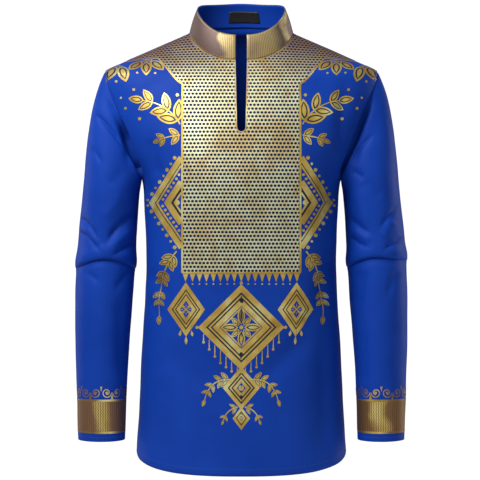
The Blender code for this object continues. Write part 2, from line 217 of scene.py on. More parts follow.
# The figured print. Places are (x, up), a petal's fullness says where it is widest, and a lozenge's lines are
# (share of its size, width of the line).
LEAF_HANDLES = (0.2, 0.7, 0.62)  # of the leaf's length, twice, and of its width
LEAF_LINE = 0.19  # of the leaf's width
LEAF_DARK = 0.9
LEAF_CORE = (0.18, 0.84, 0.42)  # from and to, as shares of the length, and share of the width
LEAF_FULLNESS = 0.85
LEAF_STEPS = 8
PETAL_STEPS = 10
CURVE_STEPS = 10
RING_STEPS = 20
SMALL_RING_STEPS = 10
TOOTH_STEPS = 4
SPIKE_STEPS = 3
STEM = 2.6
LAST_LEAF = 0.62  # a branch's leaves shrink towards this share of their size
TIP_LEAF = (0.7, 0.75)  # share of the length and of the width
DAISY_LEAF = (0.3, 0.4)  # shares of the daisy's radius: where a leaf starts and how wide it is
DAISY_PETAL = (0.5, 0.88, 0.07, 1.4)  # between two leaves: from, to, width, and the fullness
DAISY_DOT = 0.05
DAISY_RINGS = ((0.25, 0.06, RING_STEPS), (0.09, 0.16, SMALL_RING_STEPS))  # radius, width of the line, steps
TEETH = 17
TOOTH_TOP = -410
TOOTH_FOOT = -423
TOOTH_SHARE = 0.8  # of the way from one tooth to the next
TOOTH_DOT = (4, 1.5)  # how far below, radius
LOZENGES = (
    # x, up, half width, half height, radius of the dot in its middle, lines
    (0, -500, 66, 66, 3.4, ((1, 9.5), (0.81, 2.8), (0.64, 8.5), (0.5, 2.2))),
    (0, -602, 27, 32, 4.59, ((1, 6.2), (0.68, 2.4), (0.4, 5.0))),
    (0, -653, 12, 16, 2.04, ((1, 4.4), (0.45, 3.2))),
)
STAR = (
    # angle, and shares of half the first lozenge's width: from, to and how wide
    (0, 0.1, 0.5, 0.17),
    (45, 0.09, 0.34, 0.12),
)
STAR_DOT = (1.13, 2.6)  # share of half the width, radius
FRINGE = 7
FRINGE_FIRST = 0.7  # of the way from one to the next
FRINGE_AWAY = 4
FRINGE_LONG = 19
FRINGE_SHORTER = 0.45  # by this share at its two ends
FRINGE_WIDTHS = (1.1, 2.0)
FRINGE_DOT = (2.4, 2.2)  # how far below, radius
SIDE_LOZENGE = (93, -470, 28, 40)
SIDE_LOZENGE_LINES = ((1, 6.6), (0.72, 2.4), (0.48, 5.2))
SIDE_DAISY = (0.34, 4)  # share of the side lozenge's half width, petals
SIDE_DROPS = (
    # from the side lozenge's lowest point: start, end
    ((-9, 5), (-11, -5)),
    ((0, -4), (0, -19)),
    ((9, 5), (11, -5)),
)
SIDE_DROP_SHAPE = (4.2, 1.5)  # width, fullness
PENDANT_BRANCHES = (
    # start, handle, handle, end, pairs of leaves, their length, their width, their angle
    ((17, -588), (36, -586), (54, -592), (62, -622), 4, 16, 7, 48),
    ((6, -634), (16, -636), (26, -642), (30, -656), 2, 12, 5, 45),
)
HALF_LOZENGE = (101, -290, 50, 76)  # x, up, width, half height
HALF_LOZENGE_INK = ((0.91, 8.0), (0.34, 10.0))
HALF_LOZENGE_LINES = ((1, 9.0), (0.82, 3.0), (0.46, 10.0), (0.22, 3.0))
HALF_LOZENGE_PETAL = (2, 10, 8, 0.9)  # from, to, width, fullness
EDGE_DOTS = 8
EDGE_DOTS_AWAY = 8.5
EDGE_DOTS_END = (4, 0.93)  # from the bib's side, and share of the half height
EDGE_DOT_RADII = (2.2, 3.2)
INNER_DOTS = 7
INNER_DOTS_FIRST = 0.8
INNER_DOTS_SPAN = 7.6
INNER_DOTS_SHARE = 0.69
INNER_DOT = 2.4
SIDE_BRANCHES = (
    ((109, -372), (130, -396), (144, -434), (140, -482), 6, 19, 9.5, 46),
)
CHEST_BRANCHES = (
    ((103, -158), (116, -134), (140, -120), (166, -117), 3, 34, 16, 42),
    ((103, -176), (112, -178), (124, -178), (138, -184), 2, 19, 9.5, 44),
)
CHEST_DOTS = ((108, -108, 2.8), (172, -148, 2.8), (182, -98, 2.4), (204, -112, 2.0), (196, -130, 2.4))
SHOULDER_FLOWERS = (
    # x, up, radius, petals, first angle, how far round
    (208, -38, 46, 2, 234, 82),
    (161, -28, 42, 3, 206, 128),
)

CUFF_LOW = -676
CUFF_HIGH = -623
CUFF_LINE = 3.4
CUFF_DEGREES = 1.35  # of turn for each millimetre round the cuff
CUFF_STEPS = 14
SCROLL_PAIRS = 7
SCROLL_HEIGHT = -610
SCROLL_RADIUS = 8.6
SCROLL_TURNS = 1.3
SCROLL_EYE = 0.3  # of its radius
SCROLL_STEPS = 26
SCROLL_LINE = 1.6
SCROLL_DOT = 0.26  # of its radius
CUFF_SPIKE = (-621.1, -613.1, 5.0)  # between two pairs of scrolls: from, to, width
CUFF_BUD = (-599.68, -608, 3.6)  # between the two of a pair

# Stitching, in millimetres
STITCH = 3.2
STITCH_FINE = 0.8  # to measure along its line
STITCH_WIDTH = 0.7
STITCH_GAP = 0.12  # of a stitch's length, at each end
STITCH_FOOT = 0.05
STITCH_RISE = 0.3
STITCH_BLUNT = 4  # the higher, the blunter a stitch's ends
STITCH_COLUMNS = 4
STITCH_ROWS = 2
HEM_TURN = 12  # from the hem's edge to its stitches
HEM_REACH = 84  # degrees to each side
HEM_POINTS = 60
SLEEVE_HEM = -684
COLLAR_LENGTH = 450  # laid flat
COLLAR_HEIGHT = 43
COLLAR_STITCHES = (
    # rows of stitches on the collar laid flat: start, end
    ((3, 40.6), (447, 40.6)),
    ((3, 2.2), (447, 2.2)),
    ((3, 4), (3, 39)),
    ((447, 4), (447, 39)),
)
SLIT_STITCHES_AWAY = 4.0
LABEL_STITCH = 2.2
LABEL_INSET = 1.2

# Colours, in linear light
BLUE = (0.0042, 0.046, 0.37)
BLUE_DEEP = (0.0036, 0.041, 0.34)
BLUE_BRIGHT = (0.005, 0.052, 0.40)
BLUE_THREAD = (0.010, 0.062, 0.43)
BLUE_SHEEN = (0.25, 0.42, 1.0)
NAVY = (0.002, 0.005, 0.026)
NAVY_PALE = (0.0044, 0.011, 0.0572)
BLACK = (0.006, 0.006, 0.007)
BLACK_THREAD = (0.02, 0.02, 0.022)
GOLD_PALE = (0.72, 0.74, 0.54)
GOLD_PLAIN = (0.66, 0.63, 0.39)
GOLD_WARM = (0.58, 0.44, 0.19)
# Painted shade: the bib's foil is darker towards the top of the shoulders
GOLD_PAINTED_SHADE = (0.27, 0.17, 0.11)
GOLD_SUNK = (0.12, 0.065, 0.035)
# Painted shade on the collar's foil, away from its painted highlights
COLLAR_PAINTED_SHADE = (0.185, 0.127, 0.120)
GOLD_YELLOW = (0.66, 0.47, 0.10)
GOLD_ORANGE = (0.42, 0.245, 0.045)
GOLD_LEMON = (0.82, 0.76, 0.36)
# Painted shade on the figures at the shoulders, and on the cuff lines away from their painted highlight
BRONZE_PAINTED_SHADE = (0.25, 0.155, 0.07)
GOLD_THREAD = (0.62, 0.44, 0.16)
# Painted shade on the cuffs' foil, away from their painted highlights
CUFF_PAINTED_SHADE = {"left": (0.26, 0.135, 0.05), "right": (0.26, 0.14, 0.075)}
PAPER_WHITE = (0.86, 0.86, 0.86)

# Colours that change with the noise, as (value, colour) pairs
DYED = ((0.3, BLUE_DEEP), (0.7, BLUE_BRIGHT))
INKED = ((0.35, NAVY), (0.65, NAVY_PALE))
FOILED = ((0.36, GOLD_WARM), (0.5, GOLD_PLAIN), (0.62, GOLD_PALE))
FIGURED = ((0.3, GOLD_ORANGE), (0.52, GOLD_YELLOW), (0.68, GOLD_LEMON))
# Painted highlights of the collar's and the cuffs' foil
COLLAR_PAINTED_HIGHLIGHT = ((0.35, GOLD_WARM), (0.65, (0.68, 0.55, 0.27)))
CUFF_PAINTED_HIGHLIGHT = ((0.35, (0.55, 0.36, 0.10)), (0.65, (0.80, 0.62, 0.20)))
PAPERED = ((0.3, (0.85, 0.85, 0.85)), (0.7, (0.87, 0.87, 0.87)))
TWISTED = (0.35, 0.6)
THREAD_SHADE = 0.7

# The threads and the stamped lines for each unit of a piece's own map, and where across it a highlight is
# painted on the foil
WAVE_SCALE = 0.314  # of the wave node, for one thread to a unit of the map
BODY_THREADS = (560, 1700)
SLEEVE_THREADS = (600, 1500)
COLLAR_THREADS = (1000, 96)
LABEL_THREADS = (120, 44)
CUFF_ZIGZAGS = (64, 10)
COLLAR_ZIGZAGS = (150, 15)
ZIGZAG = 0.8
ZIGZAG_LINE = (0.08, 0.24)
GROOVE = 0.1
GLINT_WHOLE = 0.3  # of a glint's reach
GLINT_WANDER = 0.2
COLLAR_GLINTS = ((0.06, 0.11), (0.205, 0.035), (0.38, 0.09), (0.62, 0.1), (0.97, 0.035))
CUFF_GLINTS = {"left": ((0.5, 0.07), (0.95, 0.1)), "right": ((0.505, 0.055), (0.06, 0.1))}
CUFF_MIDDLE = 0.227  # metres from the shirt's middle, where the cuff lines' painted highlight lies
CUFF_LINE_GLINT = (0.006, 0.024)  # metres from there, where the painted bronze shade starts and is whole

# The finishes: noise as (scale, detail), shares of metal, ranges of roughness, bumps as (strength, metres)
NOISE = (0.3, 0.7)  # where most of the noise lies
DYE_PATCHES = (9.0, 3.0)
SLUB = (1100.0, 2.0)
SLUB_SHARE = 0.16
# Noise on the edge of the painted shade at the shoulders
SHOULDER_SHADE_PATCHES = (14.0, 2.0)
SHOULDER_SHADE_PATCH_SHARE = 0.05
FOIL_PATCHES = (12.0, 3.0)
FOIL_SPECKS = (70.0, 2.0)
FOIL_PATCH_SHARE = 0.6
FOIL_SUNK = (0.62, 0.75)  # of the grain's noise
SUNK_SHARE = 0.5
GRAIN = (900.0, 2.0)
INK_PATCHES = (260.0, 2.0)
FIGURE_PATCHES = (26.0, 3.0)
STAMPED_PATCHES = (18.0, 2.0)
TWIST = (1500.0, 1.0)
PAPER = (3.0, 2.0)
SHOULDER = (-0.035, 0.035)  # metres, over which the foil turns to painted shade towards the shoulders
SHOULDER_SLANT = 0.3
FIGURE_SHADE_SHARE = 0.6  # how much painted shade the figures take at the shoulders, next to the bib's ground
BIB_METAL = 0.58
FOIL_METAL = 0.65
LOW_SPECULAR = 0.1
CLOTH_SHEEN = (0.03, 0.35)  # weight, roughness
CLOTH_ROUGHNESS = (0.46, 0.62)
FOIL_ROUGHNESS = (0.44, 0.66)
FIGURE_ROUGHNESS = (0.38, 0.58)
SATIN_ROUGHNESS = (0.36, 0.5)
INK_ROUGHNESS = 0.7
THREAD_ROUGHNESS = 0.55
PAPER_ROUGHNESS = 0.9
CLOTH_BUMP = (0.22, 0.00012)
FOIL_BUMP = (0.35, 0.0002)
FIGURE_BUMP = (0.3, 0.0002)
STAMPED_BUMP = (0.5, 0.0004)
THREAD_BUMP = (0.4, 0.0001)
SATIN_BUMP = (0.35, 0.00015)

# The studio. Its softboxes are in metres, and so is what says so. The rest is in millimetres.
SENSOR = 36
CAMERA_DISTANCE = 9.0  # metres
CAMERA_HEIGHT = -353
PICTURE_WIDTH = 818
PICTURE_X = -2.2
FLOOR_RADIUS = 2.4  # metres
FLOOR_HEIGHT = -0.95  # metres
FLOOR_SIDES = 96
KEY_WAY = (-0.42, -0.5, 0.76)
KEY_RANGE = (-0.7, 1.0)  # how far a way points towards the key, where the room is darkest and brightest
SHADE_STRENGTH = 0.08
LIT_STRENGTH = 0.38
WHITE_STRENGTH = 1.05  # of the room where it is looked at
SOFTBOXES = (
    # name, place, target, size, degrees that the beam spreads over, power
    ("key", (-1.0, -1.1, 1.25), (-0.1, 0, 0.0), (1.1, 1.1), 85, 11.5),
    ("fill", (2.2, -2.6, 0.2), (0, 0, -0.35), (1.4, 1.8), 180, 9),
    ("rim_right", (1.9, 1.1, 0.1), (0.2, 0, -0.35), (0.5, 1.6), 180, 14),
    ("rim_left", (-1.9, 1.3, 0.1), (-0.2, 0, -0.35), (0.5, 1.6), 180, 7),
)

# Creases, as troughs between two points seen from the piece's own side. Width is half the trough's breadth,
# bow is how far its middle lies off the straight line, and a negative depth is a ridge. A sleeve's places are
# given as on the side at +X.
CREASES = {
    "front": (
        # from_x, from_z, to_x, to_z, bow, width, depth
        (-150, -178, -138, -250, 4, 10, 5.6),
        (-176, -238, -128, -296, 6, 10, 2.9),
        (-168, -262, -120, -338, -5, 12, -2.1),
        (166, -262, 132, -318, 4, 11, 3.2),
        (178, -92, 172, -214, 5, 12, 4.2),
        (160, -96, 150, -160, 0, 12, -2.2),
        (158, -200, 146, -268, 0, 12, 3.1),
        (160, -378, 134, -446, 4, 11, 7.0),
        (152, -430, 104, -500, 0, 14, 5.4),
        (-158, -402, -122, -448, 4, 12, 3.4),
        (-160, -452, -132, -486, 0, 11, 2.9),
        (122, -508, 34, -596, 3, 20, 6.4),
        (-128, -530, -52, -604, 6, 24, 3.4),
        (147, -500, 143, -735, 0, 20, 9.5),
        (-146, -575, -141, -735, 0, 22, 5.2),
        (64, -610, 72, -745, 0, 20, 3.1),
        (-58, -640, -66, -748, 0, 18, 2.6),
        (118, -84, 176, -112, -4, 12, 2.1),
        (-112, -80, -168, -104, 4, 11, 1.8),
    ),
    "back": (
        (70, -300, 92, -735, 0, 34, 7.8),
        (-62, -330, -84, -735, 0, 34, 6.5),
        (0, -470, 6, -735, 0, 30, 5.2),
        (150, -392, 70, -430, 0, 14, 5.2),
        (-150, -405, -78, -438, 0, 14, 5.2),
        (162, -240, 118, -306, 5, 12, 3.6),
        (-166, -232, -112, -318, -6, 13, 3.9),
        (-158, -452, -104, -480, 0, 12, 3.1),
        (40, -24, 118, -46, -5, 14, 2.1),
        (-34, -22, -124, -52, 5, 13, 2.3),
    ),
    "sleeve_left front": (
        (222, -176, 190, -212, 2, 5, 4.0),
        (206, -150, 190, -230, 3, 9, 4.6),
        (187, -235, 208, -248, 0, 5, 3.2),
        (206, -252, 236, -286, -4, 12, 2.6),
        (196, -262, 214, -330, 3, 10, -2.4),
        (272, -294, 236, -334, 4, 5, 3.8),
        (262, -318, 240, -352, 3, 10, -3.0),
        (181, -312, 218, -342, 3, 6, 4.8),
        (277, -350, 242, -369, 2, 4, 4.4),
        (182, -346, 214, -365, 2, 5, 4.2),
        (188, -330, 222, -356, 2, 8, -3.0),
        (206, -400, 196, -470, 0, 11, 3.6),
        (270, -402, 248, -448, 3, 7, 2.8),
        (208, -500, 202, -604, 0, 13, 3.2),
        (262, -486, 268, -590, 0, 14, 2.2),
    ),
    "sleeve_left back": (
        (214, -150, 196, -214, 3, 8, 3.8),
        (250, -196, 222, -232, 2, 8, 2.6),
        (188, -262, 226, -300, -3, 8, 3.4),
        (270, -318, 228, -348, 3, 6, 4.2),
        (190, -336, 226, -358, 2, 5, 4.0),
        (210, -322, 246, -362, 2, 9, -3.0),
        (270, -400, 236, -428, 0, 7, 3.2),
        (196, -408, 220, -462, 3, 8, 3.0),
        (244, -480, 252, -600, 0, 15, 2.8),
        (208, -520, 204, -612, 0, 11, 2.4),
    ),
    "sleeve_right front": (
        (228, -116, 208, -160, 2, 4, 2.6),
        (250, -138, 204, -190, 3, 3.5, 5.0),
        (207, -136, 189, -230, 3, 9, 6.0),
        (257, -196, 238, -222, 2, 4, 3.0),
        (200, -228, 226, -262, 3, 11, 2.6),
        (204, -270, 236, -318, 3, 11, -2.8),
        (278, -314, 244, -350, 4, 4, 5.2),
        (268, -328, 246, -366, 3, 8, -3.0),
        (279, -338, 240, -374, 5, 4, 4.6),
        (180, -310, 226, -355, -4, 6, 7.4),
        (184, -334, 224, -370, -2, 8, -3.2),
        (180, -356, 216, -378, 0, 4, 5.2),
        (272, -402, 240, -424, 0, 6, 2.8),
        (188, -404, 212, -436, 0, 6, 3.4),
        (206, -440, 200, -600, 0, 12, 3.6),
        (258, -470, 264, -596, 0, 14, 2.4),
    ),
    "sleeve_right back": (
        (220, -146, 200, -206, 3, 7, 3.8),
        (256, -228, 224, -262, 2, 8, 3.0),
        (192, -284, 228, -318, -3, 7, 3.6),
        (272, -330, 232, -356, 3, 5, 4.2),
        (186, -348, 220, -370, 2, 5, 4.2),
        (214, -334, 250, -366, 2, 9, -2.8),
        (266, -408, 232, -434, 2, 7, 3.2),
        (200, -426, 214, -500, 0, 11, 3.0),
        (248, -498, 246, -606, 0, 14, 2.6),
    ),
}
CREASE_END = 0.3  # of its depth is left where a crease runs out
CREASE_REACH = 3.5  # in widths
SOFT_CREASE = 13  # a crease this wide is soft, and a narrower one sharper
WAVER = 0.6  # how far the cloth wanders from its smooth form, and over what distance
WAVER_REACH = 42
SEAM_DIP = 1.5  # how deep the cloth is drawn in at a seam, and how far from it
SEAM_REACH = 2.4
ARMPIT_FOLDS = {
    # Where cloth falls away in front of an armhole: depth, and heights at which it starts and is whole.
    "left": (17, -98, -142),
    "right": (23, -134, -178),
}
ARMPIT_FOLD_ENDS = (-240, -249)  # heights
BODY_FOLD_REACH = 3.6
SLEEVE_FOLD_REACH = {"left": 15, "right": 23}
CALM = 14  # creases fade out this far from a seam
DEGREE_WIDTH = 2.4  # millimetres of cloth in a degree round the body
CREASE_TURN = 5  # creases fade out at a sleeve's inner and outer edge


# ---------------------------------------------------------------- reading the tables
def hermite(t):
    """Shares of the start, of the end and of the ways out and in, for a smooth curve from 0 to 1."""
    return (1 + 2 * t) * (1 - t) ** 2, t * t * (3 - 2 * t), t * (1 - t) ** 2, -t * t * (1 - t)


def read(table, at):
    """The row of a table at this height, by a smooth curve through its rows, without the height itself."""
    last = len(table) - 2
    spot = next((i for i in range(last) if at <= table[i + 1][0]), last)

    def slope(i, column):
        low, high = table[max(i - 1, 0)], table[min(i + 1, len(table) - 1)]
        return (high[column] - low[column]) / (high[0] - low[0])

    start, end = table[spot], table[spot + 1]
    span = end[0] - start[0]
    of_start, of_end, of_out, of_in = hermite((at - start[0]) / span)
    values = []
    for column in range(1, len(start)):
        rise = of_start * start[column] + of_end * end[column]
        lean = of_out * slope(spot, column) + of_in * slope(spot + 1, column)
        values.append(rise + lean * span)
    return values


def mix(a, b, t):
    return a + (b - a) * t


def ease(t):
    t = min(max(t, 0), 1)
    return t * t * (3 - 2 * t)


def sine(degrees):
    return math.sin(math.radians(degrees))


def cosine(degrees):
    return math.cos(math.radians(degrees))


def hump(away, reach):
    """1 where away is 0, and a smooth fall to nothing over a few times the reach."""
    return math.exp(-((away / reach) ** 2))


# ---------------------------------------------------------------- the body's form
@functools.lru_cache(maxsize=None)
def section(height):
    return read(TORSO, height)


def torso(angle, height):
    """A point of the body. The angle is in degrees: 0 at centre front, 90 at the side, 180 behind."""
    half_width, front, back, seam_y, square = section(height)
    power = 2 / square
    ahead = cosine(angle)
    depth = -front if ahead > 0 else back
    return Vector((half_width * abs(sine(angle)) ** power, seam_y + depth * abs(ahead) ** power, height))


def angle_at(x, height, behind=False):
    """The angle at which the body's section at this height is x wide."""
    half_width, square = section(height)[0], section(height)[4]
    angle = math.degrees(math.asin(min(x / half_width, 1) ** (square / 2)))
    return 180 - angle if behind else angle


def ring_height(front, side, back, turn):
    """Height of a ring round the neck, from its heights in front, at the sides and behind."""
    middle = (front + back) / 2
    return middle + (front - middle) * cosine(turn) + (side - middle) * sine(turn) ** RING_POWER


def neck_spot(turn):
    """(angle, height) of the neckline on the body, at a turn round the neck."""
    height = ring_height(NECK_FRONT, NECK_SIDE, NECK_BACK, turn)
    return angle_at(NECK_HALF_WIDTH * sine(turn), height, behind=turn > 90), height


def neck_start():
    """The turn round the neck at which the slit's edge lies."""
    return math.degrees(math.asin(SLIT_HALF_TOP / NECK_HALF_WIDTH))


def armhole_spot(turn, behind):
    """(angle, height) of the armhole, from the armpit at 0 to the shoulder tip at 180."""
    angle = 90 - ARMHOLE_BITE * abs(sine(turn)) ** ARMHOLE_FULLNESS
    height = ARMHOLE_MIDDLE + ARMHOLE_HALF * cosine(turn)
    return (180 - angle if behind else angle), height


def armhole_round(turn):
    """The same at a turn all round the sleeve, from 0 at the armpit to 90 in front and 270 behind."""
    return armhole_spot(min(turn, 360 - turn), turn > 180)


def slit_half_width(height):
    """Half the slit's width at a height above its round end."""
    up = (height - SLIT_BOTTOM) / (NECK_FRONT - SLIT_BOTTOM)
    return mix(SLIT_HALF_BOTTOM, SLIT_HALF_TOP, up)


def hem_height(angle):
    """Height of the shirt-tail hem, which is lowest in the middle of each panel."""
    from_centre = min(angle, 180 - angle) / 90
    return mix(HEM_CENTRE, HEM_SIDE, from_centre**HEM_CURVE)


def centre_edge(row, behind):
    """(angle, height) where a row meets the centre line, or the slit's edge."""
    to_armpit = BODY_ROWS
    to_tip = to_armpit + ARMHOLE_ROWS
    to_neck = to_tip + SHOULDER_ROWS
    end = to_armpit + SLIT_ROW
    if behind:
        stops = ((0, HEM_CENTRE), (to_armpit, ARMPIT), (to_tip, TIP_ROW_BACK), (to_neck, NECK_BACK))
    else:
        top = ring_height(NECK_FRONT, NECK_SIDE, NECK_BACK, neck_start())
        stops = ((0, HEM_CENTRE), (to_armpit, ARMPIT), (end, SLIT_BOTTOM),
                 (end + SLIT_END_ROWS, SLIT_BOTTOM + SLIT_HALF_BOTTOM),
                 (to_tip, TIP_ROW_FRONT), (to_neck, top))
        if end < row <= end + SLIT_END_ROWS:
            turn = 90 * (row - end) / SLIT_END_ROWS
            height = SLIT_BOTTOM + SLIT_HALF_BOTTOM * (1 - cosine(turn))
            return angle_at(SLIT_HALF_BOTTOM * sine(turn), height), height
    low, high = next(pair for pair in zip(stops, stops[1:]) if row <= pair[1][0])
    height = mix(low[1], high[1], (row - low[0]) / (high[0] - low[0]))
    if behind:
        return 180, height
    return (angle_at(slit_half_width(height), height) if row > end else 0), height


def side_edge(row, behind):
    """(angle, height) where a row meets the side seam, the armhole or the shoulder seam."""
    if row <= BODY_ROWS:
        return 90, mix(HEM_SIDE, ARMPIT, row / BODY_ROWS)
    row -= BODY_ROWS
    if row <= ARMHOLE_ROWS:
        return armhole_spot(180 * row / ARMHOLE_ROWS, behind)
    return 90, mix(SHOULDER_TIP, NECK_SIDE, (row - ARMHOLE_ROWS) / SHOULDER_ROWS)


def panel_spot(row, across, behind):
    """(angle, height) of a body panel, at a row and from 0 at the centre to 1 at the side."""
    centre, side = centre_edge(row, behind), side_edge(row, behind)
    angle, height = (mix(c, s, across) for c, s in zip(centre, side))
    if row < BODY_ROWS:
        bow = hem_height(angle) - mix(HEM_CENTRE, HEM_SIDE, across)
        height += bow * (1 - row / BODY_ROWS) ** 2
    over = (row - BODY_ROWS - ARMHOLE_ROWS) / SHOULDER_ROWS
    if over > 0:
        first = 180 if behind else neck_start()
        curve, start = neck_spot(mix(first, 90, across)), neck_spot(first)
        end = (90, NECK_SIDE)
        angle += over * (curve[0] - mix(start[0], end[0], across))
        height += over * (curve[1] - mix(start[1], end[1], across))
    return angle, height


# ---------------------------------------------------------------- the sleeve's form
def sleeve_ring(height, turn, side):
    """A point of a sleeve at +X. The turn is 0 at the inner edge, 90 in front and 180 at the outer edge."""
    inner, outer, front_y, back_y = read(SLEEVE, height)
    out, ahead = -cosine(turn), sine(turn)
    centre = Vector(((inner + outer) / 2, (front_y + back_y) / 2, height))
    reach = Vector(((outer - inner) / 2 * out, (front_y - back_y) / 2 * ahead, 0))
    level, inner_drop, outer_drop = ELBOW[side]
    above = height - level
    strength = ELBOW_SIDE_SHARE + ELBOW_FRONT_SHARE * ahead
    form = {name: size * hump(above - up, span) for name, size, up, span in ELBOW_FORMS}
    drop = (outer_drop if out > 0 else inner_drop) * out * out * hump(above, ELBOW_DROP_REACH)
    sunk = (form["trough"] + form["pinch"]) * mix(FOLD_SIDE_SHARE, 1, max(ahead, 0))
    point = centre + reach + reach.normalized() * (form["swell"] * strength - sunk)
    down = (SLEEVE_TOP - height) / (SLEEVE_TOP - SLEEVE_END)
    point.z -= form["lip"] * strength + drop + END_BOW * ahead * down**END_BOW_POWER
    return point


def sleeve_point(along, turn, side):
    """A point of a sleeve at +X, from the armhole at 0, over its head to 1, and down to the cuff at 2."""
    if along >= 1:
        return sleeve_ring(mix(SLEEVE_TOP, SLEEVE_END, along - 1), turn, side)
    turn %= 360
    armhole = torso(*armhole_round(turn))
    end = sleeve_ring(SLEEVE_TOP, turn, side)
    outwards, forwards, up = HEAD_LEAVES
    leave = Vector((outwards - HEAD_FLARE * cosine(turn), forwards * sine(turn), up)).normalized()
    arrive = (sleeve_ring(SLEEVE_TOP - SLEEVE_RUN, turn, side) - end).normalized()
    of_start, of_end, of_out, of_in = hermite(along)
    point = armhole * of_start + end * of_end
    return point + (leave * of_out + arrive * of_in) * (end - armhole).length


# ---------------------------------------------------------------- the collar's form
def collar_point(turn, up):
    """A point of the stand collar, at a turn round the neck, from its base at 0 to its edge at 1."""
    base = torso(*neck_spot(turn))
    across, forward = sine(turn), cosine(turn)
    depth = COLLAR_FRONT_Y if forward > 0 else COLLAR_BACK_Y
    edge = Vector((
        COLLAR_HALF_WIDTH * across,
        depth * abs(forward),
        ring_height(COLLAR_FRONT, COLLAR_SIDE, COLLAR_BACK, turn),
    ))
    if forward > 0:
        edge.x = mix(edge.x, base.x, forward**COLLAR_PULL)
    out = Vector((across, -forward, 0))
    return base.lerp(edge, up) + out * (COLLAR_BELLY * 4 * up * (1 - up))


# ---------------------------------------------------------------- creases
def crease_depth(piece, x, z):
    """How deep the creases of a piece press its cloth in, at a place seen from that piece's side.

    A crease is whole in the middle half of its length.
    """
    total = 0.0
    for from_x, from_z, to_x, to_z, bow, width, depth in CREASES[piece]:
        run_x, run_z = to_x - from_x, to_z - from_z
        length = math.hypot(run_x, run_z)
        away_x, away_z = x - from_x, z - from_z
        along = (away_x * run_x + away_z * run_z) / length**2
        off = (away_x * run_z - away_z * run_x) / length
        off -= bow * (1 - (2 * min(max(along, 0), 1) - 1) ** 2)
        off = math.hypot(off, max(-along, along - 1, 0) * length) / width
        if off < CREASE_REACH:
            soft = min(1, width / SOFT_CREASE)
            fade = ease(2 - 4 * abs(along - 0.5)) if 0 < along < 1 else 0
            total += depth * mix(CREASE_END, 1, fade) * math.exp((soft - math.hypot(off, soft)) * (1 + soft))
    return total


def waver(point):
    """How far the cloth strays inwards from its smooth form, because no cloth lies quite even."""
    return WAVER * noise.noise(point / WAVER_REACH)


def seam_dip(away):
    """How far cloth is drawn in by a seam, at a distance from it in millimetres."""
    return SEAM_DIP * hump(away, SEAM_REACH)


def armpit_fold(height, side, away, reach):
    """How deep the cloth falls away in front of an armhole, at this height and this far from the seam."""
    depth, start, whole = ARMPIT_FOLDS[side]
    ends, over = ARMPIT_FOLD_ENDS
    share = ease((start - height) / (start - whole)) * ease((height - over) / (ends - over))
    return depth * share * hump(away, reach)


def from_seam(angle, height):
    """About how far a point of the body is from the side seam, the armhole or the shoulder seam."""
    edge = 90
    level = (height - ARMHOLE_MIDDLE) / ARMHOLE_HALF
    if abs(level) < 1:
        edge -= ARMHOLE_BITE * (1 - level**2) ** (ARMHOLE_FULLNESS / 2)
    return max(edge - min(angle, 180 - angle), 0) * DEGREE_WIDTH


def body_way_out(angle, height):
    """The way that the body's form faces."""
    around = torso(angle + NUDGE, height) - torso(angle - NUDGE, height)
    up = torso(angle, height + NUDGE) - torso(angle, height - NUDGE)
    return around.cross(up).normalized()


def body_cloth(angle, height, side, lift=0.0):
    """A point of the front or back as worn, with its creases. The side is 1 at +X and -1 at -X."""
    point = torso(angle, height)
    worn = Vector((point.x * side, point.y, point.z))
    away = from_seam(angle, height)
    depth = crease_depth("back" if angle > 90 else "front", worn.x, worn.z) * ease(away / CALM)
    if angle < 90:
        depth += armpit_fold(height, "left" if side > 0 else "right", away, BODY_FOLD_REACH)
    point += body_way_out(angle, height) * (lift - depth - waver(worn) - seam_dip(away))
    point.x *= side
    return point


def sleeve_cloth(along, turn, side, lift=0.0):
    """A point of a sleeve as worn, with its creases. At the armhole it meets the body's cloth."""
    turn %= 360
    point = sleeve_point(along, turn, side)
    around = sleeve_point(along, turn + SLEEVE_NUDGE, side) - sleeve_point(along, turn - SLEEVE_NUDGE, side)
    down = (sleeve_point(min(along + SLEEVE_NUDGE_ALONG, 2), turn, side)
            - sleeve_point(max(along - SLEEVE_NUDGE_ALONG, 0), turn, side))
    out = down.cross(around).normalized()
    away = along * CAP_LENGTH
    armhole = armhole_round(turn)
    if away < CALM:
        out = body_way_out(*armhole).lerp(out, ease(away / CALM)).normalized()
    worn = Vector((point.x if side == "left" else -point.x, point.y, point.z))
    view = f"sleeve_{side} back" if turn > 180 else f"sleeve_{side} front"
    depth = crease_depth(view, point.x, point.z) * min(1, abs(sine(turn)) * CREASE_TURN) * ease(away / CALM)
    if turn < 180:
        depth += armpit_fold(armhole[1], side, away, SLEEVE_FOLD_REACH[side])
    dip = seam_dip(min(away, min(turn, 360 - turn) / CUFF_DEGREES))
    point += out * (lift - depth - waver(worn) - dip)
    if side == "right":
        point.x = -point.x
    return point


# ---------------------------------------------------------------- making pieces
def new_cloth():
    """An empty mesh with a UV layer, in which a pattern can follow the cloth."""
    bm = bmesh.new()
    bm.loops.layers.uv.new("cloth")
    return bm


